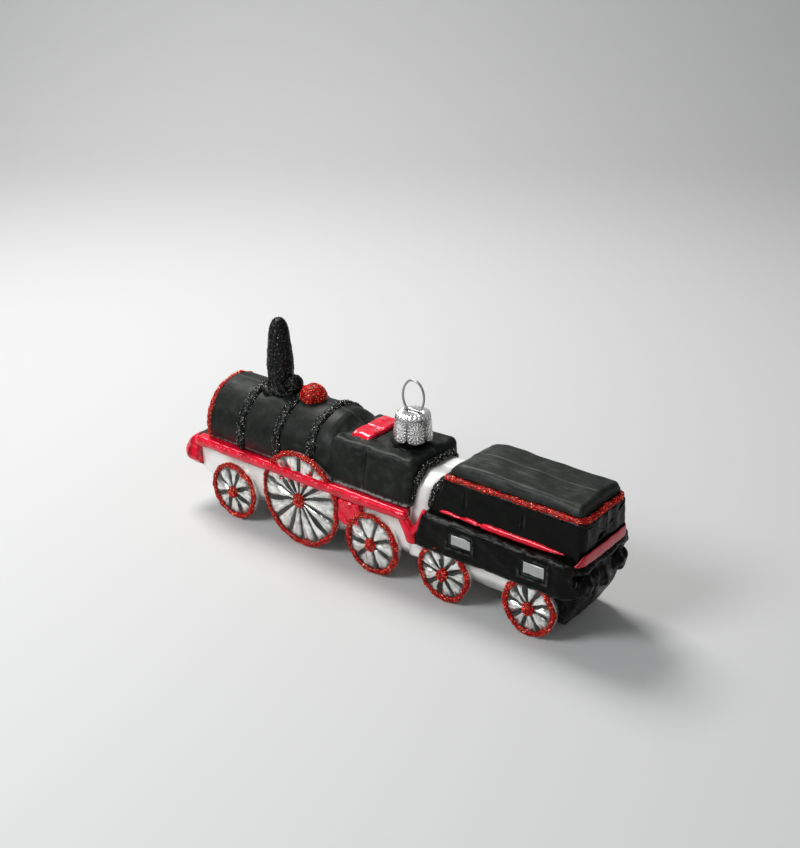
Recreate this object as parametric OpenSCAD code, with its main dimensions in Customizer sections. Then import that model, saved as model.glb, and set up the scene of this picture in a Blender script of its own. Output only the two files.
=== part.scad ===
// Hanging glass ornament in the shape of an old steam locomotive with its tender.
// Both vehicles are one blown glass body that rests on its moulded wheels; a metal
// cap with a wire loop sits on the glass neck behind the roof hatch.
// Millimetres. -X is the front of the locomotive, +X the rear of the tender,
// -Y its left side, +Z up. The origin is the middle of the footprint, on the floor.

/* [Lengths along the train] */
// Depth of the red front beam, front to back
beam_depth = 7; // [5:0.5:10]
// From the front of the beam to the front of the boiler barrel
boiler_setback = 12.6; // [11:0.2:16]
// Length of the boiler barrel
boiler_len = 44.8; // [36:0.2:56]
// Length of the tapered crown in front of the cab
crown_len = 3.9; // [3:0.1:6]
// Length of the cab block
cab_len = 29.2; // [24:0.2:36]
// Length of the narrow waist between cab and tender
waist_len = 9.2; // [7:0.2:12]
// Length of the tender tank
tank_len = 46.1; // [38:0.1:56]
// How far the rear buffer lumps stand out
buffer_len = 2.2; // [1:0.1:4]

/* [Widths] */
// Width of the chassis between the wheels
chassis_w = 24; // [20:0.5:28]
// How far each wheel stands out from the chassis
wheel_t = 2.5; // [1.8:0.1:4]
// How far the running board rail stands out past the wheels
rail_stand = 1; // [0.6:0.1:2]
// Width of the tender tank above its foot
tank_w = 21.4; // [18:0.2:23]
// Width of the cab roof
roof_w = 20; // [16:0.5:23]
// Width of the cab at its foot
cab_foot_w = 26; // [24.5:0.5:28]

/* [Heights] */
// Middle of the running board rail above the floor
rail_z = 22.8; // [21:0.2:25]
// Height of the rail
rail_h = 3.3; // [2.4:0.1:4]
// Flat roof of the cab above the floor
roof_z = 38; // [36:0.2:42]
// Underside of the tender's side panels
sill_z = 14.8; // [13.5:0.1:16]
// Floor of the tender tank
tank_z = 25.6; // [24.6:0.1:28]
// Top of the tender tank, under the glitter line
tank_top_z = 36.4; // [34:0.1:40]
// Top of the tender roof
tender_roof_z = 40.4; // [39:0.1:46]
// Underside of the chassis
keel_z = 5.6; // [4.5:0.1:7]

/* [Boiler and fittings] */
// Radius of the boiler barrel
boiler_r = 13.2; // [11:0.1:15]
// Height of the boiler axis above the floor
boiler_z = 28.7; // [27:0.1:31]
// Width of each glitter band round the boiler
band_w = 2.3; // [1.4:0.1:3]
// How far the bands stand out
band_h = 0.5; // [0.3:0.1:1]
// Height of the chimney above the boiler
chimney_h = 22.7; // [16:0.1:30]
// Radius of the chimney above its flared foot
chimney_r = 3.7; // [3:0.1:4.2]
// Radius of the chimney's rounded tip
tip_r = 2.4; // [1.8:0.1:2.8]
// Radius of the small dome behind the chimney
sand_dome_r = 2.7; // [2:0.1:3.4]
// Radius of the large dome
steam_dome_r = 3.7; // [3:0.1:4.4]

/* [Wheels] */
// Radius of the leading wheels
lead_r = 9.4; // [8:0.1:10]
// Radius of the driving wheels
drive_r = 15.4; // [12.8:0.1:16]
// Radius of the trailing wheels
trail_r = 9.7; // [8:0.1:10]
// Radius of the front tender wheels
tender_front_r = 9; // [8:0.1:10]
// Radius of the rear tender wheels
tender_rear_r = 8.7; // [8:0.1:10]
// Width of the glitter rim on each wheel
rim_w = 1.4; // [1:0.1:2]
// Depth of the wheel face behind the rim
dish = 0.6; // [0.4:0.1:1]
// Radius of the hubs on the small wheels
hub_r = 1.5; // [1:0.1:2]

/* [Neck, cap and loop] */
// Outer radius of the glass neck
neck_r = 4.3; // [3.6:0.1:4.8]
// Wall of the glass neck
neck_wall = 0.7; // [0.5:0.1:0.9]
// Height of the neck above the roof
neck_h = 9.1; // [8:0.1:11]
// Wall of the metal cap
cap_wall = 0.3; // [0.2:0.05:0.4]
// Radial gap between cap and neck
cap_gap = 0.25; // [0.2:0.05:0.4]
// How far the skirt of the cap flares out
cap_flare = 0.65; // [0.4:0.05:1]
// Number of petals on the cap's skirt
petals = 6; // [4:2:8]
// Length of the slits between the petals
slit_h = 4.9; // [3:0.1:5.5]
// Wire radius of the hanging loop
wire_r = 0.35; // [0.3:0.05:0.45]
// Width of the loop, over the wire
loop_w = 8; // [7:0.1:10]
// Height of the loop above the cap
loop_h = 9.7; // [9:0.1:12]

/* [Hidden] */
$fn = 64;
// Hairline between curved or slanted pieces that lie against each other
seam = 0.04;
// Overshoot of a cut past the face that it opens
past = 1;

// Stations along the train, from the front beam to the rear buffers
train_len = boiler_setback + boiler_len + crown_len + cab_len + waist_len + tank_len
    + buffer_len;
front_x = -train_len / 2;
beam_x = front_x + beam_depth;
boiler_x = front_x + boiler_setback;
crown_x = boiler_x + boiler_len;
cab_x = crown_x + crown_len;
waist_x = cab_x + cab_len;
tank_x = waist_x + waist_len;
rear_x = tank_x + tank_len;

// Widths from the middle plane
in_y = chassis_w / 2;
out_y = in_y + wheel_t;
rail_y = out_y + rail_stand;

// The deck that the boiler and the cab stand on
deck_z = rail_z + rail_h / 2;
boiler_top = boiler_z + boiler_r;

// Wheels: [station, radius, spokes, hub radius]
big_hub = 1.35 * hub_r;
WHEELS = [
    [boiler_x + 9.8, lead_r, 8, hub_r],
    [boiler_x + 38, drive_r, 14, big_hub],
    [cab_x + 16.8, trail_r, 7, hub_r],
    [tank_x + 3.8, tender_front_r, 9, hub_r],
    [tank_x + 31.9, tender_rear_r, 9, hub_r]];

// Fittings on the boiler
chimney_x = boiler_x + 19.4;
foot_r = chimney_r + 0.7;
sand_dome_x = chimney_x + foot_r + 0.6;
steam_dome_x = chimney_x + 12.6;
BANDS = [boiler_x + 13.2, boiler_x + 28.2, boiler_x + 41.5];
ring_r = 0.8;
plate_r = boiler_r - 1;
plate_t = 1.6;
door_r = plate_r - 2.4;
door_t = 1;

// Cab, hatch and neck
cab_eave = 1.2;
crown_end_r = 10;
hatch_x = cab_x + 3.7;
hatch_len = 7;
hatch_w = 14;
hatch_t = 1.3;
neck_x = cab_x + 21.2;
collar_r = neck_r + 0.9;
collar_h = 0.7;
neck_top = roof_z + neck_h;

// Tender
waist_w = tank_w - 1.6;
waist_top = tank_top_z - 1.3;
foot_h = 2.3;
stripe_t = 0.8;
stripe_h = 1.5;
sill_slope = 3.8;
sill_front = waist_x + 3.1;
sill_t = wheel_t;
tail_len = 9.8;
tail_z = 4;
bead_h = 1.2;
bead_t = 0.5;
roof_inset = 5.6;

// Cap and loop
cap_r = neck_r + cap_gap + cap_wall;
cap_low = roof_z + 1.6;
cap_top = neck_top + 0.6;
wire_gap = 0.3;
bend_r = wire_r + 0.03;
leg_gap = 0.35;
leg_end = neck_r - neck_wall - leg_gap - wire_r;
leg_low = neck_top - 5.6;

// The loop is a four-centred oval: flatter side arcs that run on down into the cap and
// a tighter top arc. half_w and half_h are its half axes at the middle of the wire, and
// arc_more is how much the side arc's radius is over half_h.
half_w = loop_w / 2 - wire_r;
half_h = 5;
arc_more = 2;
side_r = half_h + arc_more;
side_x = side_r - half_w;
top_dz = (side_x * side_x - arc_more * arc_more) / (2 * arc_more);
top_r = half_h - top_dz;
oval_z = cap_top + loop_h - wire_r - half_h;
entry_dz = oval_z - cap_top - 0.15;
leg_x = sqrt(side_r * side_r - entry_dz * entry_dz) - side_x;

// Solid from y0 to y1 with its outline in x and z
module along_y(y0, y1) {
    translate([0, y1, 0]) rotate([90, 0, 0]) linear_extrude(y1 - y0) children();
}

// Solid from x0 to x1 with its outline in y and z
module along_x(x0, x1) {
    translate([x0, 0, 0]) rotate([90, 0, 90]) linear_extrude(x1 - x0) children();
}

// The same solid on the left and on the right side
module both_sides() {
    children();
    mirror([0, 1, 0]) children();
}

// Cylinder along X from x0 to x1 on the boiler axis
module barrel(x0, x1, r0, r1) {
    translate([x0, 0, boiler_z]) rotate([0, 90, 0]) cylinder(h = x1 - x0, r1 = r0, r2 = r1);
}

// Everything above the deck
module above_deck() {
    translate([front_x, -rail_y, deck_z]) cube([train_len, 2 * rail_y, tender_roof_z]);
}

// Space taken by one wheel on both sides, grown by the hairline
module wheel_space(w) {
    both_sides() translate([w[0], out_y + seam, w[1]]) rotate([90, 0, 0])
        cylinder(h = wheel_t + 2 * seam, r = w[1] + seam);
}

// Disc on the left side of a wheel, between two distances from the chassis side
module wheel_disc(w, r, t0, t1) {
    both_sides() translate([w[0], -in_y - t0, w[1]]) rotate([90, 0, 0])
        cylinder(h = t1 - t0, r = r);
}

// Drum with a dished face: its full radius behind, a smaller step inside the rim
module wheel(w) {
    wheel_disc(w, w[1], 0, wheel_t - rim_w);
    wheel_disc(w, w[1] - rim_w - seam, wheel_t - rim_w - seam, wheel_t - dish);
}

// Tank outline in y and z: a wider foot that carries the stripes, then upright sides
module tank_outline() {
    half = tank_w / 2;
    foot = in_y;
    polygon([[-foot, tank_z], [foot, tank_z], [foot, tank_z + foot_h],
        [half, tank_z + foot_h + 1.4], [half, tank_top_z - 0.6], [half - 0.6, tank_top_z],
        [0.6 - half, tank_top_z], [-half, tank_top_z - 0.6],
        [-half, tank_z + foot_h + 1.4], [-foot, tank_z + foot_h]]);
}

// Waist outline in y and z
module waist_outline() {
    half = waist_w / 2;
    polygon([[-in_y, keel_z + 3], [in_y, keel_z + 3], [in_y, sill_z + 4],
        [half, sill_z + 10], [half, waist_top - 5], [half - 2, waist_top - 1.4],
        [half - 5, waist_top], [5 - half, waist_top], [2 - half, waist_top - 1.4],
        [-half, waist_top - 5], [-half, sill_z + 10], [-in_y, sill_z + 4]]);
}

// Side outline of the tender's panels in x and z
module sill_outline() {
    polygon([[sill_front, sill_z], [rear_x - 3, sill_z], [rear_x, sill_z + 3],
        [rear_x, tank_z], [sill_front + sill_slope, tank_z]]);
}

// Window opening i in the tender's side panels, between two distances from the chassis
WINDOWS = [[tank_x + 6.6, sill_z + 4.6, 6.6, 3], [tank_x + 30, sill_z + 4.4, 6.6, 3.3]];
module windows(t0, t1, grow) {
    for (w = WINDOWS) both_sides()
        translate([w[0] - grow, in_y + t0, w[1] - grow])
            cube([w[2] + 2 * grow, t1 - t0, w[3] + 2 * grow]);
}

module boiler() {
    color("#1b1c1c") difference() {
        intersection() {
            union() {
                barrel(boiler_x, crown_x, boiler_r, boiler_r);
                barrel(boiler_x - plate_t, boiler_x, plate_r, plate_r);
            }
            above_deck();
        }
        wheel_space(WHEELS[1]);
    }
}

module smokebox_ring() {
    color("#c01414") intersection() {
        translate([boiler_x - ring_r, 0, boiler_z]) rotate([0, 90, 0])
            rotate_extrude() translate([plate_r + ring_r + seam, 0]) circle(ring_r, $fn = 24);
        above_deck();
    }
}

module smokebox_door() {
    color("#222222") intersection() {
        barrel(boiler_x - plate_t - door_t, boiler_x - plate_t, door_r - 1, door_r);
        above_deck();
    }
}

module boiler_bands() {
    color("#0b0b0b") difference() {
        intersection() {
            for (x = BANDS) difference() {
                barrel(x - band_w / 2, x + band_w / 2, boiler_r + band_h, boiler_r + band_h);
                barrel(x - past - band_w, x + past + band_w, boiler_r + seam, boiler_r + seam);
            }
            above_deck();
        }
        wheel_space(WHEELS[1]);
        translate([chimney_x, 0, boiler_z]) cylinder(h = boiler_r * 2, r = foot_r + seam);
        translate([sand_dome_x, 0, boiler_z]) cylinder(h = boiler_r * 2, r = sand_dome_r);
    }
}

module chimney() {
    tip_z = boiler_top + chimney_h - tip_r;
    color("#0b0b0b") difference() {
        translate([chimney_x, 0, 0]) rotate_extrude() {
            polygon([[0, boiler_z], [foot_r, boiler_z], [foot_r, boiler_top + 0.8],
                [chimney_r, boiler_top + 2.6], [chimney_r - 0.3, boiler_top + 9],
                [tip_r, tip_z], [0, tip_z]]);
            intersection() {
                translate([0, tip_z]) circle(tip_r);
                translate([0, tip_z]) square(tip_r * 2);
            }
        }
        barrel(boiler_x, crown_x, boiler_r + seam, boiler_r + seam);
    }
}

module sand_dome() {
    color("#0b0b0b") difference() {
        translate([sand_dome_x, 0, 0]) {
            translate([0, 0, boiler_top + sand_dome_r]) sphere(sand_dome_r);
            translate([0, 0, boiler_z]) cylinder(h = boiler_r + sand_dome_r, r = sand_dome_r - 0.4);
        }
        barrel(boiler_x, crown_x, boiler_r + seam, boiler_r + seam);
        translate([chimney_x, 0, boiler_z]) cylinder(h = chimney_h * 2, r = foot_r + seam);
    }
}

module steam_dome() {
    color("#c01414") difference() {
        translate([steam_dome_x, 0, boiler_top + 0.85]) sphere(steam_dome_r);
        barrel(boiler_x, crown_x, boiler_r + seam, boiler_r + seam);
        barrel(BANDS[1] - band_w, BANDS[1] + band_w / 2 + seam, boiler_r + band_h + seam,
            boiler_r + band_h + seam);
    }
}

// Cab outline in y and z: upright foot, sloping sides, chamfered eaves
module cab_outline() {
    foot = cab_foot_w / 2;
    half = roof_w / 2;
    polygon([[-foot, deck_z], [foot, deck_z], [foot, deck_z + 1.2],
        [half + cab_eave, roof_z - 2], [half, roof_z - 0.5], [half - 2, roof_z],
        [2 - half, roof_z], [-half, roof_z - 0.5], [-half - cab_eave, roof_z - 2],
        [-foot, deck_z + 1.2]]);
}

module firebox_crown() {
    color("#1b1c1c") difference() {
        intersection() {
            barrel(crown_x, hatch_x, boiler_r, crown_end_r);
            above_deck();
        }
        along_x(cab_x, waist_x) cab_outline();
        wheel_space(WHEELS[1]);
    }
}

module cab() {
    groove_w = 0.8;
    groove_t = 0.4;
    color("#1b1c1c") difference() {
        along_x(cab_x, waist_x) cab_outline();
        both_sides() translate([cab_x + 12.7, cab_foot_w / 2 - groove_t, deck_z + 1.2])
            rotate([14, 0, 0]) cube([groove_w, 3, roof_z - deck_z - 4]);
        wheel_space(WHEELS[1]);
    }
}

module roof_hatch() {
    color("#d6102c") translate([hatch_x, -hatch_w / 2, roof_z])
        cube([hatch_len, hatch_w, hatch_t]);
}

module neck() {
    color("#101010") translate([neck_x, 0, roof_z]) difference() {
        union() {
            cylinder(h = neck_h, r = neck_r);
            cylinder(h = collar_h, r = collar_r);
        }
        translate([0, 0, collar_h]) cylinder(h = neck_h, r = neck_r - neck_wall);
    }
}

// Front beam: rounded ends in plan, rounded edges seen from the side
module front_beam() {
    low = rail_z - 10.3;
    high = rail_z + 0.2;
    r = 3;
    color("#d6102c") intersection() {
        along_y(-out_y, out_y) {
            translate([front_x + r, low + r]) square([beam_depth - r, high - low - 2 * r]);
            translate([front_x, low + r]) square([beam_depth, high - low - 2 * r]);
            translate([front_x + r, low]) square([beam_depth - r, high - low]);
            for (z = [low + r, high - r]) translate([front_x + r, z]) circle(r);
        }
        translate([0, 0, low]) linear_extrude(high - low) {
            translate([front_x, r - out_y]) square([beam_depth, 2 * (out_y - r)]);
            translate([front_x + r, -out_y]) square([beam_depth - r, 2 * out_y]);
            for (y = [r - out_y, out_y - r]) translate([front_x + r, y]) circle(r);
        }
    }
}

module front_deck() {
    color("#1b1c1c") translate([front_x + 4, -in_y, rail_z + 0.2])
        cube([boiler_x - plate_t - front_x - 4 - seam, chassis_w, deck_z - rail_z - 0.2]);
}

// Half-round rail with a flat back against the chassis, cut round the driving wheel
module running_boards() {
    color("#d6102c") difference() {
        both_sides() along_x(beam_x + seam, waist_x + 0.6) {
            r = rail_h / 2;
            translate([in_y, rail_z - r]) square([rail_y - r - in_y, rail_h]);
            translate([rail_y - r, rail_z]) circle(r);
        }
        wheel_space(WHEELS[1]);
    }
}

// Hook at the rear end of each rail: down along the panel's front edge, with a
// branch up to the panel's top corner
module rail_hooks() {
    gap = 3 * seam;
    low = sill_z - 0.4;
    lean = sill_slope / (tank_z - sill_z);
    color("#d6102c") both_sides() along_y(in_y, rail_y - 1)
        polygon([[waist_x + 0.6 + seam, rail_z - rail_h / 2],
            [waist_x + 0.9, low + 1.2], [waist_x + 1.6, low], [sill_front - 0.5, low],
            [sill_front - gap, sill_z], [sill_front - gap + sill_slope, tank_z],
            [sill_front - gap + sill_slope - 1.2, tank_z],
            [sill_front - gap - 1.2 + lean * (rail_z - sill_z), rail_z],
            [waist_x + 0.6 + seam, deck_z]]);
}

module loco_chassis() {
    low_w = chassis_w - 6;
    color("#e4e4e0") intersection() {
        along_y(-in_y, in_y)
            polygon([[front_x + 4, rail_z - 10.3], [beam_x, keel_z + 3.6],
                [beam_x + 3.4, keel_z + 1.8], [beam_x + 12, keel_z], [cab_x, keel_z],
                [cab_x + 6, keel_z + 2], [waist_x, keel_z + 2], [waist_x, deck_z],
                [boiler_x - plate_t, deck_z], [boiler_x - plate_t, rail_z + 0.2],
                [beam_x, rail_z + 0.2], [beam_x, rail_z - 10.3]]);
        along_x(front_x, waist_x)
            polygon([[-low_w / 2, 0], [low_w / 2, 0], [in_y, keel_z + 3], [in_y, deck_z],
                [-in_y, deck_z], [-in_y, keel_z + 3]]);
    }
}

// Square red guard plate between driving and trailing wheels
module axle_guards() {
    color("#c01422") difference() {
        both_sides() translate([cab_x + 3.9, in_y, rail_z - 10.5])
            cube([7.5, wheel_t - 0.5, 5.4]);
        wheel_space(WHEELS[1]);
        wheel_space(WHEELS[2]);
    }
}

module leading_wheels() {
    color("#dcdcda") wheel(WHEELS[0]);
}

module driving_wheels() {
    color("#dcdcda") wheel(WHEELS[1]);
}

module trailing_wheels() {
    color("#dcdcda") wheel(WHEELS[2]);
}

// The tender's wheels end at the underside of the side panels
module below_sill() {
    intersection() {
        children();
        translate([front_x, -rail_y, 0]) cube([train_len, 2 * rail_y, sill_z]);
    }
}

module tender_front_wheels() {
    color("#dcdcda") below_sill() wheel(WHEELS[3]);
}

module tender_rear_wheels() {
    color("#dcdcda") below_sill() wheel(WHEELS[4]);
}

// Rounded bead round the outer edge of one wheel
module rim(w) {
    r = rim_w / 2;
    both_sides() translate([w[0], in_y + wheel_t - r, w[1]]) rotate([90, 0, 0])
        rotate_extrude() {
            translate([w[1] - r, 0]) circle(r, $fn = 24);
            translate([w[1] - rim_w, 0]) square([rim_w, r]);
        }
}

module wheel_rims() {
    color("#c01414") {
        for (i = [0:2]) rim(WHEELS[i]);
        below_sill() for (i = [3:4]) rim(WHEELS[i]);
    }
}

// Star of painted ribs on the dished face of one wheel
module star(w) {
    rib_w = 0.7;
    t0 = wheel_t - dish;
    both_sides() translate([w[0], in_y + t0, w[1]]) rotate([-90, 0, 0])
        linear_extrude(dish * 0.5) {
            circle(w[3]);
            for (i = [0:w[2] - 1]) rotate(360 / w[2] * (i + 0.5))
                translate([0, -rib_w / 2]) square([w[1] - rim_w - seam, rib_w]);
        }
}

module wheel_spokes() {
    color("#161616") {
        for (i = [0:2]) star(WHEELS[i]);
        below_sill() for (i = [3:4]) star(WHEELS[i]);
    }
}

module wheel_hubs() {
    color("#c01414") for (w = WHEELS)
        wheel_disc(w, w[3], wheel_t - dish * 0.5, wheel_t + 0.1);
}

module waist() {
    color("#e4e4e0") along_x(waist_x, tank_x) waist_outline();
}

// Glitter bead round the waist: outline of the given half width and top, from x0 to x1
module bead_arch(x0, x1, half, top, foot) {
    difference() {
        along_x(x0, x1)
            polygon([[-half, foot], [half, foot], [half, top - 2.4], [half - 2.4, top],
                [2.4 - half, top], [-half, top - 2.4]]);
        along_x(x0 - past, x1 + past) translate([0, seam]) scale(1.003) waist_outline();
    }
}

module cab_bead() {
    color("#0b0b0b") bead_arch(waist_x, waist_x + 1.3, roof_w / 2 + 0.8, roof_z - 1.6,
        deck_z + seam);
}

module waist_bead() {
    color("#0b0b0b") bead_arch(tank_x - 1.3, tank_x, tank_w / 2 + 0.4, tank_top_z + 0.2,
        tank_z + 0.6);
}

module tender_chassis() {
    color("#e4e4e0") intersection() {
        along_y(-in_y, in_y)
            polygon([[tank_x, keel_z + 2], [rear_x - tail_len, keel_z + 1],
                [rear_x - tail_len, sill_z], [rear_x - 3, sill_z], [rear_x, sill_z + 3],
                [rear_x, tank_z], [tank_x, tank_z]]);
        along_x(tank_x, rear_x)
            polygon([[-in_y + 3, 0], [in_y - 3, 0], [in_y, keel_z + 4], [in_y, tank_z],
                [-in_y, tank_z], [-in_y, keel_z + 4]]);
    }
}

module tender_sills() {
    color("#1b1c1c") difference() {
        both_sides() along_y(in_y, in_y + sill_t) sill_outline();
        windows(sill_t - 0.5, sill_t + past, 0);
    }
}

module tender_windows() {
    color("#d0d0d0") windows(sill_t - 0.5, sill_t - 0.2, -seam);
}

// Rounded black underside behind the rear wheels
module tender_tail() {
    half = in_y - 2;
    color("#1b1c1c") intersection() {
        along_y(-half, half)
            polygon([[rear_x - tail_len + seam, tail_z], [rear_x - 7, tail_z],
                [rear_x - 3, tail_z + 3], [rear_x - 0.6, tail_z + 7],
                [rear_x - 3, sill_z], [rear_x - tail_len + seam, sill_z]]);
        along_x(rear_x - tail_len, rear_x)
            polygon([[-half + 5, tail_z], [half - 5, tail_z], [half, tail_z + 5],
                [half, sill_z], [-half, sill_z], [-half, tail_z + 5]]);
    }
}

module rear_buffers() {
    r = 3;
    color("#1b1c1c") both_sides() translate([rear_x, in_y - 2, sill_z + 4.7])
        rotate([0, 90, 0]) cylinder(h = buffer_len, r1 = r, r2 = r - 0.6);
}

module tender_tank() {
    color("#1b1c1c") {
        along_x(tank_x, rear_x) tank_outline();
        translate([0, 0, tank_top_z - past]) linear_extrude(bead_h + past) top_plan(-1);
    }
}

// Tapered red moulding along the foot of the tank
module side_stripes() {
    color("#d6102c") both_sides() along_y(in_y, in_y + stripe_t)
        polygon([[tank_x + 0.8, tank_z + 0.6], [rear_x - 10, tank_z + 0.6],
            [rear_x - 5.7, tank_z + 1], [rear_x - 10, tank_z + 0.6 + stripe_h],
            [tank_x + 0.8, tank_z + 0.6 + stripe_h]]);
}

module rear_stripe() {
    color("#d6102c") translate([rear_x, -in_y + 0.6, tank_z - 0.6])
        cube([0.6, chassis_w - 1.2, 2.8]);
}

// Plan outline of the tank's top, grown outwards
module top_plan(grow) {
    half = tank_w / 2 - 0.6 + grow;
    x0 = tank_x + 2 - grow;
    translate([x0, -half]) square([rear_x - 1 + grow - x0, 2 * half]);
}

module tender_bead() {
    color("#c01414") translate([0, 0, tank_top_z]) linear_extrude(bead_h) difference() {
        top_plan(bead_t);
        top_plan(seam - 1);
    }
}

module tender_roof() {
    z = tank_top_z + bead_h;
    half = tank_w / 2 - 0.4;
    color("#1b1c1c") intersection() {
        along_y(-half, half)
            polygon([[tank_x + 2.6, z], [rear_x - 1.4, z], [rear_x - 1.4, tender_roof_z - 0.8],
                [rear_x - 2.2, tender_roof_z], [tank_x + roof_inset, tender_roof_z]]);
        along_x(tank_x, rear_x)
            polygon([[-half, z], [half, z], [half, tender_roof_z - 1],
                [half - 1, tender_roof_z], [1 - half, tender_roof_z],
                [-half, tender_roof_z - 1]]);
    }
}

// Thin metal cap: flared skirt with slits, flat crown with two wire holes
module cap() {
    skirt = cap_top - cap_low;
    waist_h = skirt * 0.35;
    color("#c9c9c9") translate([neck_x, 0, cap_low]) difference() {
        rotate_extrude() polygon([[cap_r + cap_flare, 0], [cap_r, waist_h],
            [cap_r, skirt - 0.6], [cap_r - 0.6, skirt], [0, skirt],
            [0, neck_top - cap_low], [cap_r - cap_wall, neck_top - cap_low],
            [cap_r - cap_wall, waist_h], [cap_r + cap_flare - cap_wall, 0]]);
        for (i = [0:petals - 1]) rotate(360 / petals * (i + 0.5))
            translate([neck_r / 2, -0.25, -past]) cube([cap_r + cap_flare, 0.5, slit_h + past]);
        for (x = [-leg_x, leg_x]) translate([x, 0, 0])
            cylinder(h = skirt + past, r = wire_r + wire_gap);
    }
}

// Round wire between two points of the loop's plane, with a round bend at its far end
module wire(x0, z0, x1, z1) {
    len = norm([x1 - x0, z1 - z0]);
    translate([x0, 0, z0]) rotate([0, atan2(x1 - x0, z1 - z0), 0])
        cylinder(h = len, r = wire_r, $fn = 24);
    translate([x1, 0, z1]) sphere(bend_r, $fn = 24);
}

// Ring of round wire standing in the loop's plane
module wire_ring(x, z, r) {
    translate([x, 0, z]) rotate([90, 0, 0]) rotate_extrude()
        translate([r, 0]) circle(wire_r, $fn = 24);
}

module hanger_wire() {
    join_x = top_r * side_x / (side_r - top_r);
    join_dz = top_dz + top_r * top_dz / (side_r - top_r);
    color("#c4c6c8") translate([neck_x, 0, 0]) {
        intersection() {
            wire_ring(0, oval_z + top_dz, top_r);
            translate([-loop_w, -past, oval_z + join_dz]) cube([2 * loop_w, 2 * past, loop_h]);
        }
        for (side = [-1, 1]) {
            intersection() {
                wire_ring(-side * side_x, oval_z, side_r);
                translate([side * side_r - side_r, -past, oval_z - entry_dz])
                    cube([2 * side_r, 2 * past, entry_dz + join_dz]);
            }
            translate([side * join_x, 0, oval_z + join_dz]) sphere(bend_r, $fn = 24);
            translate([side * leg_x, 0, oval_z - entry_dz]) sphere(bend_r, $fn = 24);
            wire(side * leg_x, oval_z - entry_dz, side * leg_x, neck_top - 0.6);
            wire(side * leg_x, neck_top - 0.6, side * leg_end, leg_low);
        }
    }
}

boiler();
smokebox_ring();
smokebox_door();
boiler_bands();
chimney();
sand_dome();
steam_dome();
firebox_crown();
cab();
roof_hatch();
neck();
front_beam();
front_deck();
running_boards();
rail_hooks();
loco_chassis();
axle_guards();
leading_wheels();
driving_wheels();
trailing_wheels();
tender_front_wheels();
tender_rear_wheels();
wheel_rims();
wheel_spokes();
wheel_hubs();
waist();
cab_bead();
waist_bead();
tender_chassis();
tender_sills();
tender_windows();
tender_tail();
rear_buffers();
tender_tank();
side_stripes();
rear_stripe();
tender_bead();
tender_roof();
cap();
hanger_wire();
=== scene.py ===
"""Looks of a painted blown glass ornament: an old steam locomotive and its tender.

Shapes are worked out in millimetres in the CAD frame and written to the meshes in metres.
-X is the front of the locomotive, -Y its left side, +Z up, the floor at z = 0.
"""
import math

import bpy
import numpy as np
from mathutils import Matrix, Vector


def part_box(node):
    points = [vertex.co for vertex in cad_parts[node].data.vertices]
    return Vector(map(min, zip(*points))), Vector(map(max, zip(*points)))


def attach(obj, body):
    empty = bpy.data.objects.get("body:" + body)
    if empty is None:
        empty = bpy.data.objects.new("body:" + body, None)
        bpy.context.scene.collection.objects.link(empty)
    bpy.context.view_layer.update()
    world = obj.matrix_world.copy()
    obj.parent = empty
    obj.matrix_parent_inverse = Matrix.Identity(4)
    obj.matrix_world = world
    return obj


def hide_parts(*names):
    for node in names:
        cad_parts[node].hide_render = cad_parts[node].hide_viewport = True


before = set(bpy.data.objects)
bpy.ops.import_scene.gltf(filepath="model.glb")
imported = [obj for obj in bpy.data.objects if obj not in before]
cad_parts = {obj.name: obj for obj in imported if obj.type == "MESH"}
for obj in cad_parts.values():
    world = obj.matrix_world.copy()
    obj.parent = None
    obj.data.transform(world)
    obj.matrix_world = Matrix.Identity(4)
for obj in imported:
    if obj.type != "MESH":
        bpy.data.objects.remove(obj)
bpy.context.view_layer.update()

MM = 0.001
TAU = 2 * math.pi
ALONG = np.array([1.0, 0, 0])
UP = np.array([0, 0, 1.0])
ARC_POINTS = 10     # points on each rounded corner of an outline
SEAM_REACH = 0.6    # how far from the mould line an outline's points lie closer
WAVES = 20          # cosine waves in one uneven field


# ---------------------------------------------------------------- numbers from the frame
def span(node):
    """Lowest and highest corner of a CAD node in millimetres."""
    low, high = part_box(node)
    return np.array(low) / MM, np.array(high) / MM


BOILER_LOW, BOILER_HIGH = span("boiler")
BARREL_R = BOILER_HIGH[1]
BARREL_TOP = BOILER_HIGH[2]
BARREL_Z = BARREL_TOP - BARREL_R
DECK_Z = BOILER_LOW[2]
CAB_LOW, CAB_HIGH = span("cab")
ROOF_Z = CAB_HIGH[2]
CHASSIS_LOW, CHASSIS_HIGH = span("loco_chassis")
SIDE_Y = CHASSIS_HIGH[1]
WAIST_LOW, WAIST_HIGH = span("waist")
TANK_LOW, TANK_HIGH = span("tender_tank")
SILL_LOW, SILL_HIGH = span("tender_sills")
WHEEL_NODES = ["leading_wheels", "driving_wheels", "trailing_wheels",
               "tender_front_wheels", "tender_rear_wheels"]


# ---------------------------------------------------------------- curves and outlines
def unit(vectors):
    """Vectors scaled to length one; a zero vector stays zero."""
    length = np.linalg.norm(vectors, axis=-1, keepdims=True)
    return vectors / np.maximum(length, 1e-9)


def smooth(low, high, x):
    """0 below low, 1 above high, and the cubic 3t^2 - 2t^3 between them."""
    t = np.clip((x - low) / (high - low), 0, 1)
    return t * t * (3 - 2 * t)


def bump(x, centre, width):
    """Bell curve exp(-((x - centre) / width)^2)."""
    return np.exp(-((x - centre) / width) ** 2)


def spread(low, high, count, marks=(), near=1.0, gain=5.0):
    """Values from low to high whose density rises by gain in a bell round each mark."""
    t = np.linspace(low, high, 3000)
    density = 1 + gain * sum(bump(t, m, near) for m in marks) + 0 * t
    total = np.concatenate([[0], np.cumsum((density[1:] + density[:-1]) / 2)])
    return np.interp(np.linspace(0, total[-1], count), total, t)


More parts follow.
